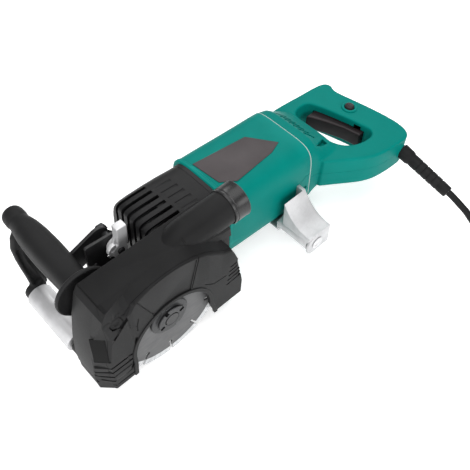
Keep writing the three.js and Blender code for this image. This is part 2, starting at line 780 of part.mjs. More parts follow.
function motorHousing() {
  const toMachine = new THREE.Matrix4().makeRotationY(PITCH);
  const pivotPlace = new THREE.Vector3(PIVOT.x, 0, PIVOT.z).applyMatrix4(toMachine);
  const { x, z } = pivotPlace;
  const lug = (y0, y1) => box(x - 9, x + 9, y0, y1, z - 7, z + 12);
  const hole = (y0, y1) => rodY(pivotPlace.x, pivotPlace.z, PIVOT.r + GAP, y0, y1, 16);
  return cut(
    join(
      cut(
        alongX(motorSection(0), MOTOR.rear + GAP, MOTOR.front),
        alongX(motorSection(MOTOR.wall), MOTOR.rear + 14, MOTOR.front + 1),
        rodX(MOTOR.y, MOTOR.z, 12.3, BEARING_REAR.x0, MOTOR.rear + 15, 20),
        rodX(MOTOR.y, MOTOR.z, 8, MOTOR.rear - 1, MOTOR.rear + 12, 16),
      ),
      lug(motorLeft - 14, motorLeft),
      lug(motorRight, motorRight + 14),
    ),
    hole(motorLeft - 11.6, motorLeft + 1),
    hole(motorRight - 1, motorRight + 11.6),
  );
}
put(machine, "motor_housing", motorHousing(), GREEN);

const labelShape = outline([
  [-119, -99],
  [-195, -94],
  [-219, -62],
  [-201, -55],
  [-140, -47.5],
  [-123, -59],
]);
const motorTop = MOTOR.z + MOTOR.half;
put(machine, "label_plate", alongZ(labelShape, motorTop + GAP, motorTop + 1), LABEL);

const gasketShape = motorSection(-0.6);
gasketShape.holes.push(motorSection(6));
put(machine, "seam_gasket", alongX(gasketShape, MOTOR.rear - 1.5, MOTOR.rear), SEAM);

for (const [side, sign] of [
  ["left", 1],
  ["right", -1],
]) {
  const y = (r) => MOTOR.y + sign * r;
  const span = (r0, r1) => [Math.min(y(r0), y(r1)), Math.max(y(r0), y(r1))];
  put(machine, `brush_holder_${side}`, cut(
    box(-214, -206, ...span(22, 44), MOTOR.z - 7, MOTOR.z + 7),
    box(-212.5, -207.5, ...span(20, 40), MOTOR.z - 5, MOTOR.z + 5),
  ), COPPER);
  const brush = box(-212.2, -207.8, ...span(14.4, 34), MOTOR.z - 4.7, MOTOR.z + 4.7);
  put(machine, `carbon_brush_${side}`, brush, CARBON);
}

// ---- rear handle ----------------------------------------------------------------------------------
const handleOutline = [
  [MOTOR.rear - 2, motorRight],
  [-262, -127],
  [-283, -131.5],
  [-300, -132.5],
  [-364, -132],
  [-374, -128],
  [-378, -120],
  [-376, -111],
  [-373, -104],
  [-376.5, -90],
  [-380.5, -70],
  [-385, -45],
  [HANDLE.rear, -20],
  [HANDLE.rear, -4],
  [-385, 7],
  [-378, 13],
  [-366, 14.5],
  [-346, 14.5],
  [-324, 12],
  [-308, 6],
  [-295, -2],
  [-282, -10],
  [-268, -18],
  [MOTOR.rear - 2, motorLeft],
];
const fingerHole = [
  [-304, -107],
  [-299, -98],
  [-296, -84],
  [-295, -60],
  [-298, -42],
  [-305, -30],
  [-318, -21],
  [-334, -17],
  [-348, -20],
  [-350, -30],
  [-331, -105],
  [-322, -109],
];
const handleSide = (inset) =>
  outline([
    [MOTOR.rear - 2 + (inset ? 4 : 0), MOTOR.z - MOTOR.half + inset],
    [MOTOR.rear - 2 + (inset ? 4 : 0), MOTOR.z + MOTOR.half - inset],
    [-260, 64 - inset],
    [-272, 55 - inset],
    [-288, 45 - inset],
    [-300, HANDLE.z + HANDLE.half - inset],
    [HANDLE.rear + 6 + inset, HANDLE.z + HANDLE.half - inset],
    [HANDLE.rear - 1 + inset, HANDLE.z + HANDLE.half - 8],
    [HANDLE.rear - 1 + inset, HANDLE.z - HANDLE.half + 8],
    [HANDLE.rear + 6 + inset, HANDLE.z - HANDLE.half + inset],
    [-304, HANDLE.z - HANDLE.half + inset],
    [-290, -12 + inset],
    [-272, -24 + inset],
  ].reverse());

const LOCK = { x: -362, y: -69.5, r: 6.2 };
const GLAND = { start: [-377, 6.5, 16.5], dir: new THREE.Vector3(-0.02, 0.975, -0.22).normalize() };

// The grip's inside: the neck behind the motor, and the bar with the trigger and switch.
const neckHollow = [
  [-249, -121],
  [-262, -122],
  [-280, -120],
  [-290, -100],
  [-291, -50],
  [-288, -34],
  [-262, -31],
  [-249, -33],
];
const barHollow = [
  [-336, -103],
  [-350, -36],
  [-379, -34],
  [-368, -102],
];
const TRIGGER_TRAVEL = 6;
const triggerAngle = Math.atan2(14.5, 72); // the bar's slant, seen from above

// The trigger, seen from above: long paddle across the finger opening.
const triggerOutline = (grow) => [
  [-316 + grow, -102 - grow],
  [-328 + grow, -77 + grow],
  [-337 + grow, -54 + grow],
  [-341.5 + grow, -31 + grow],
  [-354 - grow, -33 + grow],
  [-337 - grow, -103.5 - grow],
];
const TRIGGER_HALF = 11;
const pull = new THREE.Vector3(-Math.cos(triggerAngle), -Math.sin(triggerAngle), 0);

function handleShell(upper) {
  const z0 = upper ? HANDLE.z + GAP / 2 : -60;
  const z1 = upper ? 90 : HANDLE.z - GAP / 2;
  const plan = outline(handleOutline);
  plan.holes.push(outline(fingerHole));
  const body = common(alongZ(plan, z0, z1), alongY(handleSide(0), -150, 30));
  const hollowNeck = common(alongZ(outline(neckHollow), -60, 90), alongY(handleSide(4), -150, 30));
  const bar = alongZ(outline(barHollow), HANDLE.z - 17, HANDLE.z + 17);
  const slide = outline(triggerOutline(0.5));
  const triggerPocket = alongZ(slide, HANDLE.z - TRIGGER_HALF - 0.5, HANDLE.z + TRIGGER_HALF + 0.5);
  const pocketTravel = triggerPocket.clone().translate(pull.x * 4, pull.y * 4, 0);
  return cut(
    body,
    hollowNeck,
    bar,
    triggerPocket,
    pocketTravel,
    turned([[0, HANDLE.z + 5], [6.6, HANDLE.z + 5], [6.6, 60], [0, 60]], 20)
      .rotateX(Math.PI / 2)
      .translate(LOCK.x, LOCK.y, 0),
    cordSocket(),
  );
}

// A turned piece laid along the cord's exit direction.
function alongGland(profile, sides = 20) {
  const turn = new THREE.Quaternion().setFromUnitVectors(new THREE.Vector3(0, 1, 0), GLAND.dir);
  return turned(profile, sides).applyQuaternion(turn).translate(...GLAND.start);
}
const cordSocket = () =>
  alongGland([
    [0, -6],
    [7.6, -6],
    [7.6, 6],
    [9.8, 6],
    [9.8, 30],
    [0, 30],
  ]);

put(machine, "handle_upper_shell", handleShell(true), GREEN);
put(machine, "handle_lower_shell", handleShell(false), GREEN);

// Trigger paddle, sunk in the bar and standing out across the finger opening.
const triggerBody = alongZ(
  outline([
    ...triggerOutline(0).slice(0, 4),
    [-350, -34],
    [-334, -101],
  ]),
  HANDLE.z - TRIGGER_HALF,
  HANDLE.z + TRIGGER_HALF,
);
put(machine, "trigger", triggerBody, TRIGGER);
const switchModule = box(-369, -353, -88, -50, HANDLE.z - 13, HANDLE.z + 3);
put(machine, "switch_module", switchModule, BLACK);
const lockProfile = [
  [0, HANDLE.z + 10],
  [LOCK.r, HANDLE.z + 10],
  [LOCK.r, HANDLE.z + HANDLE.half + 2.5],
  [LOCK.r - 1.5, HANDLE.z + HANDLE.half + 4],
  [0, HANDLE.z + HANDLE.half + 4],
];
const lockButton = turned(lockProfile, 20).rotateX(Math.PI / 2).translate(LOCK.x, LOCK.y, 0);
put(machine, "lock_on_button", lockButton, TRIGGER);
put(machine, "speed_electronics", box(-286, -256, -104, -52, HANDLE.z - 10, HANDLE.z + 12), BLACK);

// ---- depth clamp ----------------------------------------------------------------------------------
const ARM = { y0: -93, y1: -89 };
const armShape = new THREE.Shape();
armShape.moveTo(-19.5, 20);
armShape.lineTo(36, 20);
armShape.lineTo(43, 50);
armShape.lineTo(40, 56);
armShape.absarc(16, 55, 13, 1.1, Math.PI);
armShape.lineTo(-3, 50);
armShape.lineTo(-19.5, 46);
const depthArm = cut(
  alongY(armShape, ARM.y0, ARM.y1),
  rodY(CLAMP.x, CLAMP.z, 4 + GAP, ARM.y0 - 2, ARM.y1 + 2, 16),
);
put(machine, "depth_arm", depthArm, BLACK);
const clampBolt = turnedY(
  [
    [0, -99],
    [7.5, -99],
    [7.5, ARM.y0 - GAP],
    [4, ARM.y0 - GAP],
    [4, -58],
    [0, -58],
  ],
  CLAMP.x,
  CLAMP.z,
  16,
);
put(machine, "clamp_bolt", clampBolt, STEEL);
const leverStem = outline([
  [-5, 0],
  [5, 0],
  [1, 26],
  [-9, 26],
]);
const clampLever = cut(
  join(
    rodY(CLAMP.x, CLAMP.z, 9.5, -72.6, -61, 6),
    alongY(leverStem, -69, -64).translate(CLAMP.x, 0, CLAMP.z),
    box(CLAMP.x - 13, CLAMP.x + 4, -72, -60, CLAMP.z + 24, CLAMP.z + 41),
  ),
  rodY(CLAMP.x, CLAMP.z, 4 + GAP, -75, -50, 16),
);
put(machine, "depth_clamp_lever", clampLever, STEEL);

// ---- cord: strain relief, free length, coil and plug ------------------------------------------
const strainRelief = alongGland([
  [0, -5.5],
  [7.2, -5.5],
  [7.2, 6.3],
  [9.5, 6.3],
  [9.5, 22],
  [8.6, 30],
  [6.4, 86],
  [0, 86],
]);
put(machine, "strain_relief", strainRelief, RUBBER);

const floorZ = -DISC_R;
const cordZ = floorZ + CORD_D / 2 + GAP;
const COIL = { x: -430, y: 228, inner: 32, outer: 60, height: 34 };
const cordLine = COIL.x + COIL.outer - CORD_D; // where the cord runs into the coil's outer turn
const cordRoute = [
  [-378.2, 91, -26.8],
  [-378.2, 101, -29.6],
  [-378.3, 114, -34.6],
  [-378.4, 128, -41.8],
  [-378.5, 142, -51.4],
  [-378.5, 156, -60.2],
  [cordLine, 170, -66.8],
  [cordLine, 182, cordZ + 0.6],
  [cordLine, 189, cordZ],
].map(([x, y, z]) => new THREE.Vector3(x, y, z));
const cord = new THREE.ExtrudeGeometry(circle(CORD_D / 2, 10), {
  steps: 12,
  extrudePath: new THREE.CatmullRomCurve3(cordRoute),
});
const loose = new THREE.Group();
tool.add(loose);
put(loose, "power_cord", cord, RUBBER);
const coil = turned(ring(COIL.inner, COIL.outer, 0, COIL.height), 28).rotateX(Math.PI / 2);
put(loose, "cord_coil", coil.translate(COIL.x, COIL.y, floorZ + GAP), RUBBER);

const PLUG = { x: COIL.x - COIL.outer + CORD_D, z: floorZ + 18.6, r: 18 };
const plugBody = turnedY(
  [
    [0, 108],
    [PLUG.r, 108],
    [PLUG.r, 138],
    [14, 146],
    [7, 152],
    [5.4, 168.8],
    [CORD_D / 2, 169],
    [CORD_D / 2, 189],
    [0, 189],
  ],
  PLUG.x,
  PLUG.z,
  24,
);
const plug = join(
  plugBody,
  rodY(PLUG.x - 9.5, PLUG.z, 2.4, 89, 110, 10),
  rodY(PLUG.x + 9.5, PLUG.z, 2.4, 89, 110, 10),
);
put(loose, "plug", plug, RUBBER);

export default object;
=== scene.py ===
"""Looks for the wall chaser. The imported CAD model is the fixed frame; every piece here is modelled in
millimetres from the outer cutting disc's centre, either level with the guard (BASE) or in the
machine's own tilted frame (MACHINE), and is then placed in the row frame in metres."""

import json
import math

import bmesh
import bpy
from mathutils import Matrix, Vector


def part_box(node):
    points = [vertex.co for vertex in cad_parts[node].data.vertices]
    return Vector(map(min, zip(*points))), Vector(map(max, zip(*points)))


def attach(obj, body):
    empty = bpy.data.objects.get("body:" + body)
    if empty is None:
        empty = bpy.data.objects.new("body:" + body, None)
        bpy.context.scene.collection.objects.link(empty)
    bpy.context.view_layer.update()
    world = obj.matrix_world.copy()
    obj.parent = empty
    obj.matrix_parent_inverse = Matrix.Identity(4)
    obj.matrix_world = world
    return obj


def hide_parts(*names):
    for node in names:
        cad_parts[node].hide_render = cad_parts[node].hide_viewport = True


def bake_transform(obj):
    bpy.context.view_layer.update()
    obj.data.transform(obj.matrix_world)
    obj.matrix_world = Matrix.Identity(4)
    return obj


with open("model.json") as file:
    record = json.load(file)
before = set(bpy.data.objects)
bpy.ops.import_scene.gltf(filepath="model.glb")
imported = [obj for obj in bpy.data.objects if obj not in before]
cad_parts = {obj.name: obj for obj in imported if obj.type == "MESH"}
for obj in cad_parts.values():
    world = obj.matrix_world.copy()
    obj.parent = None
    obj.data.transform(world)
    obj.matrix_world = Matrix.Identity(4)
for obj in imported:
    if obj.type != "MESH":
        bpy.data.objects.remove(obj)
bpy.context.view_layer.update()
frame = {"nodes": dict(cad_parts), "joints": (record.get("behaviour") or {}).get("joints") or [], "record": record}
NODES = frame["nodes"]
JOINTS = {joint["name"]: joint for joint in frame["joints"]}
MM = 0.001

DISC_CENTRE = Vector(JOINTS["spindle_spin"]["pos_m"])
MOTOR_AXIS = Vector(JOINTS["armature_spin"]["axis"])
PITCH = math.atan2(MOTOR_AXIS.z, MOTOR_AXIS.x)
BASE = Matrix.Translation(DISC_CENTRE) @ Matrix.Scale(MM, 4)
MACHINE = Matrix.Translation(DISC_CENTRE) @ Matrix.Rotation(-PITCH, 4, "Y") @ Matrix.Scale(MM, 4)


# ---- camera, floor and light ----
def add_object(name, data):
    made = bpy.data.objects.new(name, data)
    bpy.context.scene.collection.objects.link(made)
    return made


LENS = 49.9
EYE = Vector((179.8, 298.8, 599.7))
SIGHT = Vector((-0.4046, -0.4373, -0.8032))
FLOOR_HALF = 6.0


def make_camera():
    data = bpy.data.cameras.new("camera")
    data.sensor_width = 36
    data.lens = LENS
    data.clip_end = 20
    camera = add_object("camera", data)
    camera.location = BASE @ EYE
    camera.rotation_mode = "QUATERNION"
    camera.rotation_quaternion = SIGHT.to_track_quat("-Z", "Y")
    bpy.context.scene.camera = camera


def area_light(name, place, target, size, power):
    data = bpy.data.lights.new(name, "AREA")
    data.shape = "RECTANGLE"
    data.size, data.size_y = size
    data.energy = power
    light = add_object(name, data)
    light.location = place
    light.rotation_euler = (Vector(target) - Vector(place)).to_track_quat("-Z", "Y").to_euler()


def make_studio():
    world = bpy.data.worlds.new("studio")
    world.use_nodes = True
    background = world.node_tree.nodes["Background"]
    background.inputs["Color"].default_value = (1, 1, 1, 1)
    background.inputs["Strength"].default_value = 0.4
    bpy.context.scene.world = world
    area_light("side", (0.15, 1.5, 0.75), (0.05, 0, 0.05), (1.6, 0.7), 13)
    area_light("top", (0.0, 0.1, 1.6), (0, 0, 0), (1.8, 1.4), 16)
    area_light("front", (1.5, 0.2, 0.6), (0, 0, 0.05), (0.9, 0.7), 9)
    area_light("back", (-0.9, -0.9, 1.2), (0, 0, 0.05), (1.4, 0.6), 9)
    bpy.context.scene.view_settings.view_transform = "Standard"
    mesh = bpy.data.meshes.new("floor")
    signs = ((-1, -1), (1, -1), (1, 1), (-1, 1))
    corners = [(FLOOR_HALF * x, FLOOR_HALF * y, 0) for x, y in signs]
    mesh.from_pydata(corners, [], [(0, 1, 2, 3)])
    mesh.materials.append(floor_material())
    floor = add_object("floor", mesh)


# ---- materials ----
def new_material(name):
    material = bpy.data.materials.new(name)
    material.use_nodes = True
    tree = material.node_tree
    return material, tree, tree.nodes["Principled BSDF"]


def node(tree, kind, **values):
    made = tree.nodes.new(kind)
    for key, value in values.items():
        if key in made.inputs:
            made.inputs[key].default_value = value
        else:
            setattr(made, key, value)
    return made


def noise(tree, scale, detail=3.0, stretch=(1, 1, 1), rough=0.5):
    """Noise in the piece's own space, scale in features per metre."""
    place = node(tree, "ShaderNodeTexCoord")
    mapping = node(tree, "ShaderNodeMapping")
    mapping.inputs["Scale"].default_value = stretch
    texture = node(tree, "ShaderNodeTexNoise", Scale=scale, Detail=detail, Roughness=rough)
    tree.links.new(place.outputs["Object"], mapping.inputs["Vector"])
    tree.links.new(mapping.outputs["Vector"], texture.inputs["Vector"])
    return texture.outputs["Fac"]


def spread(tree, value, low, high, start=0.3, end=0.7):
    """Maps a 0 to 1 value onto low to high."""
    made = node(tree, "ShaderNodeMapRange")
    made.inputs["From Min"].default_value = start
    made.inputs["From Max"].default_value = end
    made.inputs["To Min"].default_value = low
    made.inputs["To Max"].default_value = high
    tree.links.new(value, made.inputs["Value"])
    return made.outputs["Result"]


def tinted(tree, value, dark, light):
    mix = node(tree, "ShaderNodeMix", data_type="RGBA")
    mix.inputs["A"].default_value = (*dark, 1)
    mix.inputs["B"].default_value = (*light, 1)
    tree.links.new(value, mix.inputs["Factor"])
    return mix.outputs["Result"]


def bumped(tree, shader, height, strength, distance):
    bump = node(tree, "ShaderNodeBump", Strength=strength, Distance=distance)
    tree.links.new(height, bump.inputs["Height"])
    tree.links.new(bump.outputs["Normal"], shader.inputs["Normal"])


MOULD_GRAIN_DEPTH = 0.00005


def moulded(name, color, roughness, grain=2600.0, strength=0.35, vary=0.12, shine=0.3):
    """Moulded plastic: spark-eroded grain, faint cloudiness, paler sharp convex edges."""
    material, tree, shader = new_material(name)
    cloud = noise(tree, 38.0, 4.0)
    dark = tuple(c * (1 - vary) for c in color)
    light = tuple(min(1.0, c * (1 + vary)) for c in color)
    base = tinted(tree, spread(tree, cloud, 0, 1), dark, light)
    # Sharp convex edges, picked out by pointiness, are mixed towards a paler tone.
    edge_tone = tuple(min(1.0, c * 1.5 + 0.012) for c in color)
    edge = node(tree, "ShaderNodeNewGeometry").outputs["Pointiness"]
    edge_mask = spread(tree, edge, 0.0, 0.55, 0.53, 0.62)
    mix = node(tree, "ShaderNodeMix", data_type="RGBA")
    mix.inputs["B"].default_value = (*edge_tone, 1)
    tree.links.new(base, mix.inputs["A"])
    tree.links.new(edge_mask, mix.inputs["Factor"])
    tree.links.new(mix.outputs["Result"], shader.inputs["Base Color"])
    fine = noise(tree, grain, 2.0)
    tree.links.new(spread(tree, fine, roughness - 0.06, roughness + 0.08), shader.inputs["Roughness"])
    bumped(tree, shader, fine, strength, MOULD_GRAIN_DEPTH)
    shader.inputs["Specular IOR Level"].default_value = shine
    return material


def machined(name, color, roughness, stretch, scale=900.0, depth=0.00002, metallic=1.0, dull=0.82):
    """Turned, ground or rolled metal: fine lines along one direction and faint stains."""
    material, tree, shader = new_material(name)
    lines = noise(tree, scale, 3.0, stretch, 0.65)
    stain = noise(tree, 55.0, 4.0)
    dark = tuple(c * dull for c in color)
    tree.links.new(tinted(tree, spread(tree, stain, 0, 1), dark, color), shader.inputs["Base Color"])
    tree.links.new(spread(tree, lines, roughness - 0.08, roughness + 0.12), shader.inputs["Roughness"])
    bumped(tree, shader, lines, 0.3, depth)
    shader.inputs["Metallic"].default_value = metallic
    return material


def floor_material():
    material, tree, shader = new_material("floor")
    mottle = noise(tree, 6.0, 3.0)
    color = tinted(tree, spread(tree, mottle, 0, 1), (0.93, 0.93, 0.93), (0.95, 0.95, 0.95))
    tree.links.new(color, shader.inputs["Base Color"])
    shader.inputs["Roughness"].default_value = 0.9
    shader.inputs["Emission Color"].default_value = (1, 1, 1, 1)
    shader.inputs["Emission Strength"].default_value = 0.42
    return material


MATERIALS = {
    "guard": moulded("guard_moulding", (0.0095, 0.0095, 0.0098), 0.5, shine=0.12),
    "spout": moulded("spout_moulding", (0.011, 0.011, 0.0115), 0.3, grain=1500, strength=0.12, shine=0.45),
    "patch": moulded("dark_patch", (0.003, 0.003, 0.003), 0.4, grain=3000, strength=0.1, shine=0.02),
    "vent": moulded("vent_moulding", (0.009, 0.009, 0.0095), 0.42, grain=2000, shine=0.16),
    "handle": moulded("handle_moulding", (0.0095, 0.0095, 0.01), 0.58, grain=1400, strength=0.5, shine=0.2),
    "green": moulded(
        "green_moulding",
        (0.0, 0.185, 0.158),
        0.42,
        grain=2400,
        strength=0.2,
        vary=0.04,
        shine=0.05,
    ),
    # Darker copy of the green moulding: painted shade for the floors of the neck gills.
    "gill_painted_shade": moulded(
        "green_painted_shade",
        (0.0, 0.062, 0.052),
        0.6,
        grain=2400,
        strength=0.2,
        vary=0.04,
        shine=0.02,
    ),
    "label": moulded("label_plate", (0.05, 0.042, 0.044), 0.5, grain=3000, strength=0.2),
    "seam": moulded("seam_seal", (0.42, 0.5, 0.47), 0.5, vary=0.05),
    "trigger": moulded("trigger_moulding", (0.019, 0.0135, 0.015), 0.4, grain=1800, shine=0.25),
    "rubber": moulded("cord_rubber", (0.0085, 0.0085, 0.009), 0.52, grain=1600, strength=0.3, shine=0.15),
    "roller": machined("roller_aluminium", (0.62, 0.62, 0.63), 0.5, (1, 0.04, 1), metallic=0.8),
    "casting": machined("bracket_aluminium", (0.62, 0.62, 0.63), 0.55, (1, 1, 0.15), metallic=0.7),
    "disc": machined("disc_steel", (0.1, 0.101, 0.103), 0.5, (0.08, 1, 1), 700.0, metallic=0.3),
    "rim": machined("diamond_rim", (0.66, 0.67, 0.68), 0.5, (1, 1, 1), 2600.0, 0.00008, metallic=0.6),
    "dark_steel": machined("blackened_steel", (0.05, 0.051, 0.053), 0.42, (1, 1, 1), 1600.0, metallic=0.8),
    "black_plate": machined("black_plate", (0.012, 0.012, 0.013), 0.42, (1, 1, 1), 2200.0, metallic=0.1),
    "steel": machined("machined_steel", (0.5, 0.5, 0.51), 0.32, (1, 0.1, 1)),
    "nickel": machined(
        "nickel_plate",
        (0.66, 0.66, 0.67),
        0.4,
        (1, 1, 1),
        1200.0,
        metallic=0.45,
        dull=0.95,
    ),
    "copper": machined("copper_and_laminations", (0.62, 0.32, 0.2), 0.4, (1, 0.1, 1)),
    "carbon": moulded("carbon_block", (0.02, 0.02, 0.02), 0.6),
}
CAD_FINISH = {
    "steel": "steel",
    "bright_steel": "nickel",
    "black_steel": "black_plate",
    "disc_steel": "disc",
    "aluminium": "casting",
    "copper": "copper",
    "carbon": "carbon",
    "guard_plastic": "guard",
    "handle_plastic": "handle",
    "green_plastic": "green",
    "trigger_plastic": "trigger",
    "label": "label",
    "seam": "seam",
    "cord_rubber": "rubber",
}


DARK_NODES = ("spindle", "gear_case", "gear_case_cover")


def dress_cad_nodes():
    """Gives every carried-over CAD node the procedural material of its slot."""
    for row in frame["record"]["subparts"]:
        shown = NODES[row["node"]]
        shown.data.materials.clear()
        finish = "black_plate" if row["node"] in DARK_NODES else CAD_FINISH[row["material_slot"]]
        shown.data.materials.append(MATERIALS[finish])


# ---- modelling tools ----
def new_object(name, bm):
    mesh = bpy.data.meshes.new(name)
    bmesh.ops.recalc_face_normals(bm, faces=bm.faces)
    bm.to_mesh(mesh)
    bm.free()
    return add_object(name, mesh)


def arc(x, y, r, start, end, steps=12):
    """Points on an arc, angles in degrees."""
    turns = [math.radians(start + (end - start) * i / steps) for i in range(steps + 1)]
    return [(x + r * math.cos(t), y + r * math.sin(t)) for t in turns]


def rounded_rect(x0, x1, y0, y1, r):
    """An upright rectangle with four arcs for corners."""
    corners = ((x1 - r, y0 + r), (x1 - r, y1 - r), (x0 + r, y1 - r), (x0 + r, y0 + r))
    points = []
    for i, (x, y) in enumerate(corners):
        points += arc(x, y, r, 90 * i - 90, 90 * i, 8)
    return points


def at_x(x, ring):
    """Stands a flat ring of (Y, Z) points at one place along X."""
    return [(x, y, z) for y, z in ring]


def at_y(y, ring):
    """Stands a flat ring of (X, Z) points at one place along Y."""
    return [(x, y, z) for x, z in ring]


AXES = {
    "x": lambda u, v, w: (w, u, v),
    "y": lambda u, v, w: (u, w, v),
    "z": lambda u, v, w: (u, v, w),
}


def prism(points, axis, low, high):
    """A closed outline pushed along an axis: (Y, Z) along x, (X, Z) along y, (X, Y) along z."""
    at = AXES[axis]
    bm = bmesh.new()
    lower = [bm.verts.new(at(u, v, low)) for u, v in points]
    upper = [bm.verts.new(at(u, v, high)) for u, v in points]
    bm.faces.new(lower)
    bm.faces.new(upper)
    count = len(points)
    for i in range(count):
        j = (i + 1) % count
        bm.faces.new((lower[i], lower[j], upper[j], upper[i]))
    return new_object("prism", bm)


def block(x0, x1, y0, y1, z0, z1):
    return prism([(x0, y0), (x1, y0), (x1, y1), (x0, y1)], "z", z0, z1)


def round_bar(x, z, r, y0, y1, sides=24):
    """A round bar or hole across the tool."""
    return prism(arc(x, z, r, 0, 360 - 360 / sides, sides - 1), "y", y0, y1)


def loft(sections):
    """Skins a list of rings of 3-D points, all with the same count."""
    bm = bmesh.new()
    rings = [[bm.verts.new(p) for p in ring] for ring in sections]
    count = len(rings[0])
    for a, b in zip(rings, rings[1:]):
        for i in range(count):
            j = (i + 1) % count
            bm.faces.new((a[i], a[j], b[j], b[i]))
    bm.faces.new(rings[0])
    bm.faces.new(rings[-1])
    return new_object("loft", bm)


def turned(profile, axis, centre, sides=64):
    """Turns (radius, place) pairs about an axis through centre; ends on the axis or closes."""
    at = AXES[axis]
    shift = Vector(centre)
    bm = bmesh.new()
    rings = []
    for r, w in profile:
        if r < 1e-6:
            rings.append([bm.verts.new(Vector(at(0, 0, w)) + shift)])
            continue
        turn = [2 * math.pi * i / sides for i in range(sides)]
        rings.append([bm.verts.new(Vector(at(r * math.cos(t), r * math.sin(t), w)) + shift) for t in turn])
    closed = profile[0] == profile[-1]
    if closed:
        for v in rings.pop():
            bm.verts.remove(v)
        rings.append(rings[0])
    for a, b in zip(rings, rings[1:]):
        for i in range(sides):
            j = (i + 1) % sides
            corners = [a[i % len(a)], a[j % len(a)], b[j % len(b)], b[i % len(b)]]
            unique = list(dict.fromkeys(corners))
            if len(unique) > 2:
                bm.faces.new(unique)
    return new_object("turned", bm)


def apply_modifiers(made):
    evaluated = made.evaluated_get(bpy.context.evaluated_depsgraph_get())
    mesh = bpy.data.meshes.new_from_object(evaluated)
    old = made.data
    made.modifiers.clear()
    made.data = mesh
    bpy.data.meshes.remove(old)
    return made


def bevel(made, width, segments=2, angle=30):
    modifier = made.modifiers.new("bevel", "BEVEL")
    modifier.width = width
    modifier.segments = segments
    modifier.limit_method = "ANGLE"
    modifier.angle_limit = math.radians(angle)
    modifier.use_clamp_overlap = True
    return apply_modifiers(made)


def combine(made, operation, others):
    for other in others:
        modifier = made.modifiers.new("boolean", "BOOLEAN")
        modifier.operation = operation
        modifier.solver = "MANIFOLD"
        modifier.object = other
        apply_modifiers(made)
        bpy.data.objects.remove(other)
    return made


def join(made, *others):
    return combine(made, "UNION", others)


def cut(made, *others):
    return combine(made, "DIFFERENCE", others)


def common(made, *others):
    return combine(made, "INTERSECT", others)


def soften(made, voxel, passes):
    """Remeshes a solid finely and relaxes it, which rounds every edge as a mould does."""
    remesh = made.modifiers.new("remesh", "REMESH")
    remesh.mode = "VOXEL"
    remesh.voxel_size = voxel
    smooth = made.modifiers.new("smooth", "SMOOTH")
    smooth.factor = 0.5
    smooth.iterations = passes
    return apply_modifiers(made)


def moved(made, matrix):
    made.data.transform(matrix)
    return made


def duplicate(made):
    double = made.copy()
    double.data = made.data.copy()
    bpy.context.scene.collection.objects.link(double)
    return double


LEVEL_BODIES = ("base", "front_roller", "rear_roller")


def place(made, name, body, material, replaced, slot, flat_angle=35):
    """Puts a finished piece in the row frame, on its body, with its material."""
    made.name = name
    made.data.name = name
    made.data.transform(BASE if body in LEVEL_BODIES else MACHINE)
    made.data.materials.clear()
    made.data.materials.append(MATERIALS[material])
    made.data.shade_smooth()
    made.data.set_sharp_from_angle(angle=math.radians(flat_angle))
    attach(made, body)
    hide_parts(replaced)
    return made


# ---- guard ----
SOLE = -50.0
TOP = 85.0
FACE_Y = 9.5
SEAM_Y = 6.4
ARCH_R = 85.0
OPENING = {"r": 50.0, "z": -18.0}
TUBE = {"y": -21.0, "z": 75.0, "r": 19.0}
BOX_SIDE = [
    (-95, SOLE), (93.5, SOLE), (93.5, -18), (90, 12), (82.5, 48), (73.5, 77), (68, TOP), (-81, TOP),
    (-95, 62),
]
FACE_SIDE = [
    (-97, SOLE), (94, SOLE), (94, 90), (-62, 90), (-76, 62), (-83.5, 48.5), (-92.7, 20.7), (-98.5, -26.5),
]


def shoulder(x):
    """Where the flat top ends and where the left face begins, at one place along the guard."""
    stations = [
        (-99, -8.0, 52, 12), (-84, -7.5, 58, 44), (-74, -7.0, 63, 48), (-62, -6.5, 73, 59),
        (-50, -6.0, 80.5, 68.7), (-34, -5.6, TOP, 77.9), (-16, -5.2, TOP, 83.2), (0, -4.6, TOP, 84.2),
        (20, -4.2, TOP, 82.6), (36, -3.8, TOP, 77.0), (41, -3.2, TOP, 74.4), (43, -2.6, TOP, 70.5),
        (50, -0.5, TOP, 61), (60, 2.7, TOP, 51), (68, 5.2, TOP, 43), (73.5, 6.0, 77, 38),
        (82.5, 6.5, 48, 28), (90, 6.5, 12, 2), (93.5, 6.5, -18, -24),
    ]
    for (x0, *low), (x1, *high) in zip(stations, stations[1:]):
        if x <= x1:
            share = (x - x0) / (x1 - x0)
            return [a + (b - a) * share for a, b in zip(low, high)]
    return stations[-1][1:]


def guard_left_solid():
    """The arched left half: flat top, slanting shoulder, side face."""
    sections = []
    places = [-99, -91, -84, -79, -74, -68, -62, -56, -50, -42, -34, -25, -16, -8, 0, 10, 20, 28, 36, 41]
    places += [43, 50, 55, 60, 64, 68, 73.5, 78, 82.5, 86, 90, 93.5]
    for x in places:
        y_top, z_top, z_side = shoulder(x)
        run = Vector((FACE_Y - y_top, z_side - z_top)).normalized()
        ring = [
            (-8, SOLE), (FACE_Y - 0.8, SOLE), (FACE_Y, SOLE + 0.8), (FACE_Y, z_side - 1.6),
            (FACE_Y - 0.25, z_side - 0.5), (FACE_Y - 1.2 * run.x, z_side - 1.2 * run.y),
            (y_top + 1.4 * run.x, z_top + 1.4 * run.y), (y_top, z_top - 0.1), (y_top - 1.2, z_top),
            (-8, z_top),
        ]
        sections.append(at_x(x, ring))
    return common(loft(sections), prism(FACE_SIDE, "y", -20, 20))


ARCH_WALL = 4.5
HOLLOW_SPLIT = 4.0


def arch_hollow():
    """The disc room under the arch: full inside, drawn in under the hex boss near the face."""
    foot = [(-93, SOLE - 6), (89, SOLE - 6), (89, -18)]
    under_boss = [(80, 14), (66, 36), (50, 46), (40, 62)]
    inner_rim = arc(0, 0, ARCH_R - ARCH_WALL, 20, 165, 44)
    outer_rim = arc(0, 0, ARCH_R - ARCH_WALL, 64, 165, 30)
    inside = prism(foot + inner_rim, "y", -9, HOLLOW_SPLIT)
    return join(inside, prism(foot + under_boss + outer_rim, "y", HOLLOW_SPLIT - 0.1, 8))


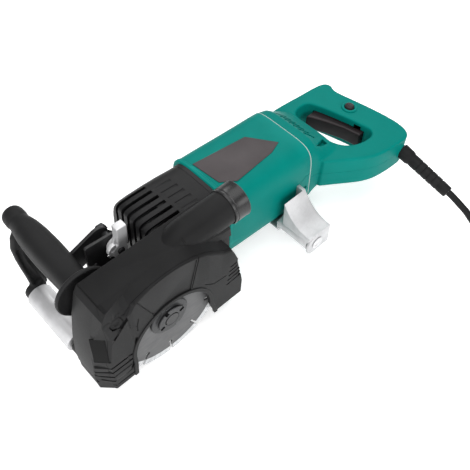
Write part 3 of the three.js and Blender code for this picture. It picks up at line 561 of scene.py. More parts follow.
def spout_solid(grow=0.0, start=-102.0, bore=False):
    """The dust spout: a round tube that sinks into the flat top; its bore ends sooner."""
    stations = [
        (start, 0, 0), (-52, 0, 0), (-42, 0.2, 0.4), (-34, 1.0, 1.5), (-27, 2.6, 3.2), (-20, 4.6, 5.2),
        (-13, 7.0, 7.4),
    ]
    if bore:
        stations = stations[:4]
    sections = []
    for x, thin, drop in stations:
        r = TUBE["r"] + grow - thin
        turn = [2 * math.pi * i / 56 for i in range(56)]
        sections.append(
            [(x, TUBE["y"] + r * math.cos(t), TUBE["z"] - drop + r * math.sin(t)) for t in turn]
        )
    return loft(sections)


def spout_root():
    """The soft web that carries the tube down to the shoulder on its left side."""
    sections = []
    for x, low, out in [
        (-95, 58, -5), (-84, 62, -3.4), (-70, 68, -2.6), (-56, 74, -2.8), (-44, 80, -4), (-36, 83, -5.5),
    ]:
        ring = [
            (-20, low - 12), (out + 1, low - 10), (out, low), (out - 1.5, low + 3.5), (out - 5, low + 6.5),
            (-20, low + 9),
        ]
        sections.append(at_x(x, ring))
    return loft(sections)


def groove(points, width, depth):
    """A groove along a line in the left face, as one cutter for each stretch."""
    cutters = []
    for (x0, z0), (x1, z1) in zip(points, points[1:]):
        along = Vector((x1 - x0, z1 - z0))
        side = Vector((-along.y, along.x)).normalized() * width / 2
        lead = along.normalized() * width * 0.3
        corners = [
            (x0 - lead.x + side.x, z0 - lead.y + side.y), (x1 + lead.x + side.x, z1 + lead.y + side.y),
            (x1 + lead.x - side.x, z1 + lead.y - side.y), (x0 - lead.x - side.x, z0 - lead.y - side.y),
        ]
        cutters.append(prism(corners, "y", FACE_Y - depth, FACE_Y + 4))
    return cutters


CORNER = [(-70.0, 0.0), (-18.0, 0.2), (9.5, 0.9), (46.5, 6.6), (82.0, 6.1)]


def corner_depth(z):
    """How far the chamfer of the front left corner has sunk at one height."""
    for (z0, d0), (z1, d1) in zip(CORNER, CORNER[1:]):
        if z <= z1:
            return d0 + (d1 - d0) * (z - z0) / (z1 - z0)
    return CORNER[-1][1]


def corner_strip(near, far, z0, z1, t0=-26.0, t1=46.0):
    """A body that follows the chamfer, from near to far below it and from t0 to t1 across it."""
    start = Vector((93.8, -4.3))
    along = (Vector((80.2, 9.8)) - start).normalized()
    inward = Vector((-abs(along.y), -abs(along.x)))
    sections = []
    for z in [z0] + [height for height, _ in CORNER if z0 < height < z1] + [z1]:
        top = inward * (corner_depth(z) + near)
        low = inward * (corner_depth(z) + far)
        a = start + along * t0
        b = start + along * t1
        sections.append([(q.x, q.y, z) for q in (a + low, b + low, b + top, a + top)])
    return loft(sections)


def corner_cut(sunk=0.0, z0=-70.0, z1=82.0):
    """Everything outside the chamfer, or outside a surface sunk below it."""
    return corner_strip(-30, sunk, z0, z1)


RIBS = 5
RIB_PITCH = 9.5
RIB_TOP = -3.0
REAR_RIB_PITCH = 7.2
REAR_RIB_TOP = 18


def panel_outline():
    """The blank panel above the disc: straight ends, arched top and bottom."""
    low = arc(0, OPENING["z"], OPENING["r"] + 4.6, 67, 118, 12)
    return low + arc(0, 0, ARCH_R - 1.8, 117, 65, 14)


def guard_cutters():
    """Grooves, ribs and recesses of the guard's left and front faces."""
    cutters = []
    cutters += groove([(38.9, 76.5), (50.3, 60.8), (67.5, 43.0)], 3.2, 2.4)
    cutters += groove([(38.6, 48.5), (41.4, 38.0), (42.1, 28.8)], 1.1, 0.8)
    cutters += groove([(49.5, 44.2), (41.4, 38.0)], 1.1, 0.8)
    cutters += groove([(45.3, 18.3), (49.4, -2.5), (57.7, -30.5)], 3.0, 2.2)
    for i in range(RIBS):
        z = RIB_TOP - i * RIB_PITCH
        rear_z = REAR_RIB_TOP - i * REAR_RIB_PITCH
        cutters += groove([(96, z), (54.5 + 0.6 * i, z - 1.5)], 2.6, 1.2)
        cutters.append(corner_cut(1.2, z - 1.6, z + 1.1))
        cutters += groove([(-104, rear_z), (-82 + 1.5 * i, rear_z - 2)], 2.4, 1.4)
    cutters.append(corner_cut(0.9, 9.0, 46.4))
    cutters.append(prism(panel_outline(), "y", FACE_Y - 0.9, FACE_Y + 3))
    cutters += groove([(36.1, 75.2), (21.3, 37.3)], 1.3, 1.6)
    cutters += groove([(-28, 32.2), (-40, 74.4)], 1.3, 1.6)
    cutters += groove([(-45, 20), (-57, 9), (-75, 6)], 1.2, 0.9)
    lip = prism([(91.6, -38.2), (96, -38.2), (96, -36.0), (92.6, -36.0)], "y", -44, 12)
    notch = block(84, 96, -45, -37.5, SOLE - 4, -38)
    crease = prism([(67.2, 83.9), (68.4, 83.9), (69.2, 88), (66.6, 88)], "y", -44, 3.5)
    return cutters + [lip, crease, notch]


def hex_points(cx, cz, r, turn=0):
    return arc(cx, cz, r, turn, turn + 300, 5)


BOSS = Vector((60.5, 4.6, 62.0))
BOSS_FACING = Vector((0.12, 1.0, 0.22)).normalized()


def on_boss(made):
    """Stands a shape made along +Y on the hex boss."""
    turn = Vector((0, 1, 0)).rotation_difference(BOSS_FACING).to_matrix().to_4x4()
    return moved(made, Matrix.Translation(BOSS) @ turn)


def arch_opening(y0, y1, grow=0.0):
    """The wheel arch over the outer disc, open below the sole."""
    r = OPENING["r"] + grow
    side = arc(0, OPENING["z"], r, -6, 186, 60)
    return prism([(-r - 7.6, SOLE - 10), (r + 3.6, SOLE - 10)] + side, "y", y0, y1)


def guard_solid():
    """The whole guard before it is hollowed and split at its seam."""
    right_half = bevel(prism(BOX_SIDE, "y", -41, -6), 2.2, 4, 20)
    solid = join(right_half, guard_left_solid(), spout_solid(), spout_root())
    boss = on_boss(bevel(round_bar(0, 0, 12.2, -8, 2.2, 36), 0.9, 3))
    solid = cut(join(solid, boss), corner_cut())
    solid = cut(solid, *guard_cutters())
    return cut(solid, on_boss(prism(hex_points(0, 0, 8.4, 15), "y", 0.4, 6)))


def make_guard():
    solid = guard_solid()
    whole = duplicate(solid)
    housing = common(solid, block(-130, 130, -60, SEAM_Y - 0.15, -60, 110))
    hollow = [(-92, SOLE - 6), (90.5, SOLE - 6), (90.5, -18), (87, 11), (79, 46), (70, 75)]
    hollow = prism(hollow + [(66, 82), (-79, 82), (-92, 61)], "y", -38, -6.5)
    slot = prism(rounded_rect(-14, 18, -30, 20, 7), "y", -43, -37)
    bolt_hole = round_bar(61, 53, 4.4, -43, -37)
    disc_room = cut(arch_hollow(), corner_cut(3.6, -70, 110))
    housing = cut(housing, hollow, disc_room, spout_solid(-2.6, -110, True), slot, bolt_hole)
    place(housing, "guard_housing_shell", "base", "guard", "guard_housing", "guard_plastic", 16)
    cover = common(whole, block(-130, 130, SEAM_Y + 0.15, 30, -60, 110))
    lip = bevel(cut(arch_opening(FACE_Y - 1.2, FACE_Y + 1.0, 5.0), arch_opening(0, 20)), 0.6, 2)
    lip = common(lip, block(-62, 62, 0, 30, SOLE, 60))
    pocket = round_bar(61, 55, 4.4, 0, 8)
    cover = cut(join(cover, lip), arch_opening(0, 20), pocket)
    place(cover, "guard_cover_shell", "base", "guard", "guard_cover", "guard_plastic", 16)


def make_guard_inlay():
    """The smooth dark patch let into the chamfer of the front left corner."""
    pad = corner_strip(0.2, 1.1, 9.3, 46.1, 4.0, 18.8)
    place(pad, "front_corner_patch", "base", "patch", "guard_cover", "guard_plastic")


def make_dust_collar():
    r = TUBE["r"]
    profile = [
        (r - 2.4, -99.2), (r + 0.3, -99.2), (r + 1.2, -99.6), (r + 1.6, -100.6), (r + 1.6, -101.6),
        (r + 0.9, -102.2), (r + 0.9, -103.4), (r + 1.6, -104.0), (r + 1.5, -117.4), (r + 1.9, -118.0),
        (r + 1.9, -119.2), (r + 1.2, -120.0), (r - 1.6, -120.0), (r - 2.6, -119.0), (r - 2.6, -104.0),
        (r - 2.4, -99.2),
    ]
    collar = turned(profile, "x", (0, TUBE["y"], TUBE["z"]), 96)
    collar = cut(collar, spout_solid(0.25))
    place(collar, "dust_collar", "base", "spout", "dust_port_collar", "guard_plastic")


def make_cover_bolt():
    nut = on_boss(
        bevel(
            cut(prism(hex_points(0, 0, 7.3, 15), "y", 0.6, 2.0), prism(hex_points(0, 0, 3.4), "y", 1.4, 6)),
            0.35,
        )
    )
    place(nut, "guard_cover_nut", "base", "guard", "guard_cover_bolt", "black_steel")


# ---- front handle and rollers ----
GRIP = Vector((61, 0, 53))
FRONT_AXLE = Vector((80, 0, -35))
REAR_AXLE = Vector((-205, 0, -35))
ROLLER_R = 15.0


def oval(cx, cy, rx, ry, power=2.4, count=48, turn=0.0):
    """A superellipse: 2 is an ellipse, larger is squarer."""
    points = []
    for i in range(count):
        t = 2 * math.pi * i / count
        c, s = math.cos(t), math.sin(t)
        x = rx * math.copysign(abs(c) ** (2 / power), c)
        y = ry * math.copysign(abs(s) ** (2 / power), s)
        points.append(
            (cx + x * math.cos(turn) - y * math.sin(turn), cy + x * math.sin(turn) + y * math.cos(turn))
        )
    return points


def make_front_handle():
    sections = []
    for y, rx, rz, power in [
        (-54, 15.0, 15.0, 2.3), (-55.2, 15.6, 15.6, 2.4), (-66, 15.4, 15.6, 2.6), (-84, 15.7, 15.9, 2.9),
        (-112, 16.2, 16.2, 3.0), (-134, 15.6, 15.8, 2.9), (-150, 14.4, 14.6, 2.6), (-158, 13.2, 13.3, 2.3),
        (-163, 12.4, 12.4, 2.1), (-166.5, 11.6, 11.6, 2.0), (-168.5, 12.4, 12.4, 2.0),
        (-171, 12.8, 12.8, 2.0), (-179, 12.5, 12.5, 2.0), (-182.6, 11.3, 11.3, 2.0), (-184, 9.4, 9.4, 2.0),
    ]:
        ring = oval(GRIP.x, GRIP.z, rx, rz, power, 64, math.radians(8))
        sections.append(at_y(y, ring))
    grip = loft(sections)
    path = [(64, -165, 46, 6.0), (72, -163, 38, 6.0), (76.5, -160, 28, 6.0), (77.5, -156, 15, 6.0)]
    path += [(77, -152, 2, 6.4), (75.5, -148.5, -12, 7.2), (74.5, -146, -24, 8.0), (75, -144, -33, 9.0)]
    sections = []
    recess = []
    for i, (x, y, z, reach) in enumerate(path):
        before = Vector(path[max(i - 1, 0)][:3])
        after = Vector(path[min(i + 1, len(path) - 1)][:3])
        along = (after - before).normalized()
        wide = Vector((0, 1, 0)) - along * along.y
        wide.normalize()
        thick = along.cross(wide)
        centre = Vector((x, y, z))
        sections.append([tuple(centre + wide * u + thick * v) for u, v in oval(0, 0, 5.4, reach, 3.4, 32)])
        if 1 < i < 7:
            middle = centre + wide * 5.4
            recess.append(
                [tuple(middle + wide * u + thick * v) for u, v in oval(0, 0, 2.6, reach - 3.0, 3.4, 32)]
            )
    web = []
    for y, z, x0, x1 in ((-158, 38, 58, 74), (-150.5, 2, 60, 76), (-145.5, -33, 63, 76)):
        web.append([(x0, y - 2, z), (x1, y - 2, z), (x1, y + 2, z), (x0, y + 2, z)])
    strut = join(cut(loft(sections), loft(recess)), loft(web))
    boss = turned([
        (0, -148.4), (9.6, -148.4), (12, -146.6), (12.4, -145), (12.4, -138.4), (11.6, -137.4), (0, -137.4),
    ], "y", FRONT_AXLE)
    whole = soften(join(grip, strut, boss), 1.1, 5)
    bore = turned([(0, -160), (5.4, -160), (5.4, -130), (0, -130)], "y", FRONT_AXLE, 40)
    bolt_bore = turned([(0, -182), (4.6, -182), (4.6, -40), (0, -40)], "y", GRIP, 40)
    parting = loft([at_y(y, oval(GRIP.x, GRIP.z, 22, 0.28, 8, 16)) for y in (-150, -68)])
    core = loft([at_y(y, oval(GRIP.x, GRIP.z, 15.0, 3, 2, 32)) for y in (-151, -67)])
    whole = cut(whole, bore, bolt_bore, cut(parting, core))
    place(whole, "front_side_handle", "base", "handle", "front_handle", "handle_plastic", 50)


def make_hand_guard():
    profile = [
        (4.8, -48.6), (12, -48.6), (17, -49.2), (24, -49.4), (27.5, -48.2), (29.4, -48.0), (30.4, -49.2),
        (30.4, -51.8), (29.2, -53.0), (27.2, -52.8), (24, -51.8), (17, -52.2), (15, -53.4), (4.8, -53.4),
        (4.8, -48.6),
    ]
    disc = turned(profile, "y", GRIP, 96)
    place(disc, "hand_guard_dish", "base", "handle", "hand_guard_disc", "handle_plastic")


def roller_profile(y0, y1):
    r = ROLLER_R
    rim = [
        (5.5, y0 + 1.2), (9.5, y0 + 1.2), (10.5, y0), (r - 0.9, y0), (r - 0.25, y0 + 0.25), (r, y0 + 0.9),
    ]
    other = [(radius, y0 + y1 - y) for radius, y in reversed(rim)]
    return rim + other + [rim[0]]


def make_rollers():
    front = turned(roller_profile(-136, -57), "y", FRONT_AXLE, 128)
    place(front, "front_roller_tube", "front_roller", "roller", "front_roller", "aluminium")
    rear = turned(roller_profile(-22.4, 23.5), "y", REAR_AXLE, 128)
    place(rear, "rear_roller_tube", "rear_roller", "roller", "rear_roller", "aluminium")
    head = [
        (0, -26.7), (5, -26.7), (5, 28.3), (7.2, 28.3), (8, 28.7), (8, 29.2), (7.4, 29.5), (5.2, 29.5),
        (4.4, 28.8), (0, 28.8),
    ]
    axle = turned(head, "y", REAR_AXLE, 64)
    place(axle, "rear_axle", "base", "nickel", "rear_roller_axle", "aluminium")
    rod = turned([(0, -151), (4.2, -151), (5, -150.2), (5, -42.3), (0, -42.3)], "y", FRONT_AXLE, 48)
    place(rod, "front_axle", "base", "steel", "front_roller_axle", "steel")
    lug = turned([
        (5.3, -54.6), (11, -54.6), (12, -53.6), (12, -41.3), (5.3, -41.3), (5.3, -54.6),
    ], "y", FRONT_AXLE, 64)
    foot = cut(
        bevel(block(58, 80, -46.6, -41.3, -47, -22), 1.2, 3),
        round_bar(FRONT_AXLE.x, FRONT_AXLE.z, 6, -60, -30),
    )
    web = cut(
        bevel(block(62, 72, -53, -45, -37, -33), 0.8),
        round_bar(FRONT_AXLE.x, FRONT_AXLE.z, 6, -60, -30),
    )
    lug = join(lug, foot, web)
    place(lug, "front_axle_lug", "base", "guard", "front_roller_bracket", "guard_plastic")


PIVOT = Vector((-232, 0, -36))
PIVOT_HOLE_R = 4.3


def ear_outline(front):
    """The cheek that carries a pivot pin, up to one place along the tool."""
    return [(-242, SOLE), (front, SOLE), (front, -33), (-225, -27), (-237, -27), (-242, -33)]


def make_rear_bracket():
    cheek = [(-189, -36), (-190, -43.5), (-193.5, -48.5), (-199, SOLE), (-226.5, SOLE)]
    cheek += [(-226.5, -19), (-203, -19), (-196, -21.5), (-191, -28)]
    cheek = bevel(prism(cheek, "y", 24.5, 28), 0.7, 3, 40)
    shares = (0.1, 0.2, 0.3, 0.4, 0.5, 0.6, 0.7, 0.8, 0.9, 1.0)
    sweep = [(28, SOLE), (28, -19.2)] + [(28 - 45 * t, -19.2 + 27.2 * t ** 2.6) for t in shares]
    wall = bevel(prism(sweep + [(-26.7, 8), (-26.7, SOLE)], "x", -226.5, -222), 0.5, 2, 50)
    saddle = bevel(prism(sweep[1:] + [(-17, -30), (24, -30)], "x", -226.5, -191), 0.8, 3, 40)
    floor = bevel(block(-242, -192, -46, -25, SOLE, -47.5), 0.5)
    ear = bevel(prism(ear_outline(-192), "y", -26.7, -23), 0.8, 3, 40)
    base_rail = bevel(block(-226.5, -196, 22, 25.5, SOLE, -46.5), 0.4)
    whole = join(cheek, wall, saddle, floor, ear, base_rail)
    cutters = [round_bar(REAR_AXLE.x, REAR_AXLE.z, 5.3, y0, y1, 45) for y0, y1 in ((23.6, 30), (-30, -20))]
    cutters.append(round_bar(PIVOT.x, PIVOT.z, PIVOT_HOLE_R, -30, -20, 45))
    roller_room = round_bar(REAR_AXLE.x, REAR_AXLE.z, 15.6, -22.9, 24.2, 60)
    whole = cut(whole, roller_room, *cutters)
    place(whole, "rear_bracket_casting", "base", "casting", "rear_roller_bracket", "aluminium")


# ---- cutting discs ----
DISC_R = 75.0
DISC_SLOTS = 11


def disc_pieces(y):
    """A steel core with keyhole slots, and the diamond rim brazed on in segments."""
    core = [(8.6, y - 1.0), (66.4, y - 1.0), (66.4, y + 1.0), (8.6, y + 1.0), (8.6, y - 1.0)]
    core = turned(core, "y", (0, 0, 0), 176)
    rim = [(66.0, y - 1.2), (DISC_R - 0.3, y - 1.2), (DISC_R, y - 0.9), (DISC_R, y + 0.9)]
    rim += [(DISC_R - 0.3, y + 1.2), (66.0, y + 1.2), (66.0, y - 1.2)]
    rim = turned(rim, "y", (0, 0, 0), 176)
    core_cuts = []
    rim_cuts = []
    for i in range(DISC_SLOTS):
        turn = Matrix.Rotation(-math.radians(-157 + i * 360 / DISC_SLOTS), 4, "Y")
        core_cuts.append(moved(block(57, 80, y - 2, y + 2, -1.3, 1.3), turn))
        core_cuts.append(moved(round_bar(57, 0, 2.4, y - 2, y + 2), turn))
        rim_cuts.append(moved(block(60, 80, y - 2, y + 2, -2.1, 2.1), turn))
        for j in range(1, 5):
            fine = turn @ Matrix.Rotation(-math.radians(j * 360 / DISC_SLOTS / 5), 4, "Y")
            rim_cuts.append(moved(block(67.5, 80, y + 0.75, y + 2, -0.5, 0.5), fine))
    return cut(core, *core_cuts), cut(rim, *rim_cuts)


def make_discs():
    for side, y in (("outer", 0.0), ("inner", -28.0)):
        core, rim = disc_pieces(y)
        place(core, f"disc_{side}_core", "spindle", "disc", f"disc_{side}", "disc_steel")
        place(rim, f"disc_{side}_rim", "spindle", "rim", f"disc_{side}", "disc_steel")


def make_clamp_nut():
    profile = [
        (8.4, 1.4), (23.4, 1.4), (24, 2.0), (24, 3.4), (23.2, 4.2), (17.8, 4.6), (17.2, 5.2), (17.2, 7.4),
        (16.6, 8.0), (9.4, 8.0), (8.4, 7.2), (8.4, 1.4),
    ]
    nut = turned(profile, "y", (0, 0, 0), 96)
    slots = []
    for i in range(4):
        turn = Matrix.Rotation(math.radians(25 + i * 90), 4, "Y")
        slots.append(moved(block(11.4, 20, 4.4, 9, -2.2, 2.2), turn))
    place(cut(nut, *slots), "clamp_nut_flange", "spindle", "dark_steel", "clamp_nut", "disc_steel")


# ---- depth clamp ----
CLAMP = Vector((9, 0, 58))


def make_depth_clamp():
    lever_block = bevel(block(CLAMP.x - 10, CLAMP.x + 2, -70, -60.4, CLAMP.z + 5, CLAMP.z + 33), 0.9, 3)
    hollow = bevel(block(CLAMP.x - 8, CLAMP.x, -75, -62.4, CLAMP.z + 4, CLAMP.z + 31), 0.6)
    stem = [(-6.4, 0), (5.4, -3), (7.4, 6), (4.4, 14), (1.4, 20), (-9.4, 20), (-9.4, 10)]
    stem = bevel(prism([(CLAMP.x + x, CLAMP.z + z) for x, z in stem], "y", -68.6, -64.6), 0.7)
    hub = turned([
        (4.4, -72.4), (9.6, -72.4), (9.6, -61), (8.8, -60.4), (4.4, -60.4), (4.4, -72.4),
    ], "y", CLAMP)
    ear = [(CLAMP.x + x, CLAMP.z + z) for x, z in arc(6.4, 4.4, 8.0, -120, 100, 24)]
    ear = bevel(prism(ear, "y", -65.5, -60.8), 0.6)
    ear = cut(ear, round_bar(CLAMP.x + 9.4, CLAMP.z + 5.5, 2.3, -70, -55, 18))
    collar = turned([
        (4.4, -63), (7.6, -63), (7.6, -61.4), (6.8, -60.8), (4.4, -60.8), (4.4, -63),
    ], "y", CLAMP)
    bore = round_bar(CLAMP.x, CLAMP.z, 4.3, -80, -50)
    lever = cut(join(cut(lever_block, hollow), stem, hub, collar, ear), bore)
    place(lever, "clamp_lever_casting", "clamp_lever", "nickel", "depth_clamp_lever", "bright_steel")
    head = bevel(prism(hex_points(CLAMP.x, CLAMP.z, 7.5), "y", -99, -93.3), 0.6)
    shank = turned([(0, -94), (4, -94), (4, -58.8), (3.2, -58), (0, -58)], "y", CLAMP, 40)
    place(join(head, shank), "clamp_screw", "machine", "dark_steel", "clamp_bolt", "steel")
    outline = [(-19.5, 20), (20, 20), (26, 33), (54, 22), (60, 50), (48, 57.5)]
    outline += arc(17, 56.5, 13.4, 62, 175, 16) + [(-3, 50), (-19.5, 46)]
    arm = bevel(prism(outline, "y", -93, -89), 0.6, 2, 40)
    arm = cut(arm, round_bar(CLAMP.x, CLAMP.z, 4.4, -99, -80))
    place(arm, "depth_arm_plate", "machine", "black_plate", "depth_arm", "black_steel")


SLOT_TRAVEL = (-0.021, 0.0, 0.0655)
SLOT_R = 5


def make_depth_quadrant():
    """A plate whose slot lets the clamp bolt swing about the pivot, from end to end of its travel."""
    low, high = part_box("clamp_bolt")
    middle = BASE.inverted() @ ((low + high) / 2)
    outline = [
        (-4, -20), (40, -20), (38.6, 50), (37.2, 62.6), (36.9, 73.6), (35.2, 75.3), (1, 72), (-3, 70.6),
        (-4, 68),
    ]
    plate = bevel(prism(outline, "y", -77, -73.5), 0.45, 2, 40)
    web = bevel(block(24, 27.5, -74.4, -41.4, 4, 29), 0.6)
    rib = bevel(prism([(30, -14), (33, -14), (32, 46), (29, 46)], "y", -74, -71.6), 0.5)
    slot = []
    for travel in SLOT_TRAVEL:
        turn = Matrix.Rotation(travel, 3, "Y")
        spot = PIVOT + turn @ (Vector((middle.x, 0, middle.z)) - PIVOT)
        slot.append(Vector((spot.x, spot.z)))
    along = (slot[-1] - slot[0]).normalized()
    side = Vector((-along.y, along.x)) * SLOT_R
    angle = math.degrees(math.atan2(side.y, side.x))
    ends = arc(slot[-1].x, slot[-1].y, SLOT_R, angle, angle - 180, 16)
    ends += arc(slot[0].x, slot[0].y, SLOT_R, angle - 180, angle - 360, 16)
    plate = cut(join(plate, web, rib), prism(ends, "y", -80, -70))
    place(plate, "depth_plate", "base", "black_plate", "depth_quadrant", "black_steel")


# ---- motor, vents and name plate ----
MOTOR = {"y": -77.0, "z": 19.0, "half": 50.0}
VENT = {"right": -122.0, "left": -32.3, "low": -28.0, "top": 68.0}


def motor_ring(grow):
    """Cross-section of the motor: a square with big round corners."""
    return oval(MOTOR["y"], MOTOR["z"], MOTOR["half"] + grow, MOTOR["half"] + grow, 5.0, 96)


VENT_SLOTS = 6
VENT_PITCH = 10.3


def make_vent_cover():
    cy = (VENT["right"] + VENT["left"]) / 2
    cz = (VENT["low"] + VENT["top"]) / 2
    ry = (VENT["left"] - VENT["right"]) / 2
    rz = (VENT["top"] - VENT["low"]) / 2
    stations = [
        (-111.7, 0.0), (-100, 0.2), (-80, 0.6), (-60, 0.4), (-40, -0.2), (-30, -0.8), (-25, -1.6),
        (-22.2, -2.8), (-20.6, -4.6), (-20, -6.6),
    ]
    outside = [at_x(x, oval(cy, cz, ry + grow, rz + grow, 4.4, 96)) for x, grow in stations]
    inside = [
        at_x(x, oval(cy, cz, ry - 3.2 + min(grow, 0), rz - 3.2 + min(grow, 0), 4.2, 96))
        for x, grow in stations
    ]
    inside[0] = [(-114, y, z) for _, y, z in inside[0]]
    inside = [[(x - 3.0 if x > -30 else x, y, z) for x, y, z in ring] for ring in inside]
    cutters = [loft(inside), block(-99, 0, -44.3, 0, -60, 90)]
    reach = arc(0, 0, 33.2, 0, 352, 44)
    cutters += [prism(reach, "y", -76, -30), round_bar(-42.4, 19, 25.7, -76, -30, 45)]
    for i in range(VENT_SLOTS):
        y = -110 + i * VENT_PITCH
        rear = -59 - i
        cutters.append(bevel(block(rear, 0, y + 0.4, y + 4.8, 40, 90), 0.5, 2, 40))
        cutters.append(bevel(block(-30, 0, y + 0.4, y + 4.8, 14, 60), 0.5, 2, 40))
        if 0 < i:
            cutters.append(
                bevel(block(rear - 26, rear - 4.5, y + 0.8, y + 4.4, VENT["top"] - 0.2, 90), 0.3)
            )
    for z in (-14, -4, 6):
        cutters.append(bevel(block(-92, -44, -130, -118, z, z + 4.6), 0.8))
    shell = cut(loft(outside), *cutters)
    band = cut(
        loft([at_x(x, oval(cy, cz, ry + 0.4, rz + 0.4, 4.4, 96)) for x in (-111.7, -106.5)]),
        loft([at_x(x, oval(cy, cz, ry - 3, rz - 3, 4.2, 96)) for x in (-115, -100)]),
    )
    place(join(shell, band), "vent_cover_shell", "machine", "vent", "vent_cover", "guard_plastic")


LABEL_OUTLINE = [(-119, -99), (-195, -94), (-219, -62), (-201, -55), (-140, -47.5), (-123, -59)]


def scaled_outline(points, grow):
    """The outline with every corner pushed away from the middle."""
    cx = sum(x for x, _ in points) / len(points)
    cy = sum(y for _, y in points) / len(points)
    out = []
    for x, y in points:
        away = Vector((x - cx, y - cy))
        away *= 1 + grow / away.length
        out.append((cx + away.x, cy + away.y))
    return out


MOTOR_TOP = MOTOR["z"] + MOTOR["half"]
MOTOR_WALL = 4.2


def label_recess():
    return prism(scaled_outline(LABEL_OUTLINE, 0.5), "z", MOTOR_TOP - 0.3, 90)


def motor_solid():
    """The motor shell's outside, from the leaning joint with the handle to the vent cover."""
    stations = [(-240, 0.4), (-225, 0.5), (-205, 0.2), (-170, 0.0), (-140, 0.0), (-120, -0.2)]
    stations += [(-114, -0.6), (-112, -1.4)]
    return loft([leaned(-248.2, motor_ring(0))] + [at_x(x, motor_ring(grow)) for x, grow in stations])


def make_motor_housing():
    solid = motor_solid()
    inner = loft([at_x(x, motor_ring(-MOTOR_WALL)) for x in (-234, -150, -108)])
    lugs = []
    pivot = MACHINE.inverted() @ (BASE @ PIVOT)
    for y0, y1 in ((-41, -27.1), (-126.9, -113)):
        lugs.append(bevel(block(pivot.x - 9, pivot.x + 9, y0, y1, pivot.z - 7, pivot.z + 12), 1.5, 3))
    cutters = [inner]
    for y0, y1 in ((-38.6, -26), (-128, -115.4)):
        cutters.append(round_bar(pivot.x, pivot.z, PIVOT_HOLE_R, y0, y1))
    shaft_hole = [(0, -249), (8, -249), (8, -230), (0, -230)]
    cutters.append(turned(shaft_hole, "x", (0, MOTOR["y"], MOTOR["z"]), 48))
    cutters.append(label_recess())
    cutters.append(turned([(0, -34), (3.0, -34), (3.2, -24), (0, -24)], "y", (-238, 0, 8), 32))
    cutters.append(turned([(0, -130), (3.0, -130), (3.0, -120), (0, -120)], "y", (-238, 0, 8), 32))
    for y in (-26.6, -127.4):
        line = [(-246, 30), (-236, 30), (-228, 24), (-228, 23), (-236.4, 29), (-246, 29)]
        cutters.append(prism(line, "y", y - 1.2, y + 1.2))
    housing = cut(join(solid, *lugs), *cutters)
    ridge = ((-118, -0.6), (-117, 0.5), (-113.4, 0.5), (-112.2, -0.8))
    ridge = loft([at_x(x, motor_ring(grow)) for x, grow in ridge])
    ridge = cut(ridge, loft([at_x(x, motor_ring(-MOTOR_WALL)) for x in (-120, -108)]))
    housing = cut(join(housing, ridge), label_recess())
    place(housing, "motor_housing_shell", "machine", "green", "motor_housing", "green_plastic")
    plate = bevel(prism(LABEL_OUTLINE, "z", MOTOR_TOP, MOTOR_TOP + 0.8), 0.35, 2)
    place(plate, "blank_name_plate", "machine", "label", "label_plate", "label")


SEAM_LEAN = 0.085


def leaned(x, ring):
    """A cross-section leaned forward at its top, as the joint between motor and handle is."""
    return [(x + SEAM_LEAN * (z - MOTOR["z"] + MOTOR["half"]), y, z) for y, z in ring]


def make_seam():
    outer = [
        leaned(x, motor_ring(grow))
        for x, grow in ((-249.3, 0.0), (-249.1, 0.45), (-248.5, 0.45), (-248.3, 0.0))
    ]
    inner = [leaned(x, motor_ring(-6)) for x in (-251, -246)]
    place(cut(loft(outer), loft(inner)), "pale_seam", "machine", "seam", "seam_gasket", "seam")


# ---- rear handle ----
GRIP_Z = {"mid": 19.0, "half": 22.0}
LOCK = Vector((-362, -69.5, 0))
TRIGGER_TURN = math.atan2(14.5, 72.0)
GLAND_START = Vector((-377, 6.5, 16.5))
GLAND_RUN = Vector((-0.02, 0.975, -0.22)).normalized()


def smooth_outline(points):
    """Rounds every corner of a closed outline by cutting it twice."""
    for _ in range(2):
        softer = []
        for i, (x0, y0) in enumerate(points):
            x1, y1 = points[(i + 1) % len(points)]
            softer.append((x0 * 0.75 + x1 * 0.25, y0 * 0.75 + y1 * 0.25))
            softer.append((x0 * 0.25 + x1 * 0.75, y0 * 0.25 + y1 * 0.75))
        points = softer
    return points


FINGER_HOLE = [
    (-301, -110), (-296.5, -99), (-294.5, -84), (-294, -60), (-295.5, -42), (-302, -28), (-315, -18.5),
    (-334, -14.5), (-350, -18), (-352, -32), (-332, -107), (-321, -113),
]
LOOP_OUTLINE = [
    (-258, -126.5), (-283, -129.5), (-300, -129.5), (-335, -128.4), (-366, -127.6), (-376, -124),
    (-379.0, -116), (-374, -107), (-375.5, -95), (-380.5, -72), (-385.5, -47), (-389, -22), (-389, -4),
    (-385, 9), (-377, 15), (-364, 15.5), (-344, 15), (-324, 12.5), (-308, 6.5), (-294, -2), (-281, -10.5),
    (-268, -18.5), (-258, -25),
]


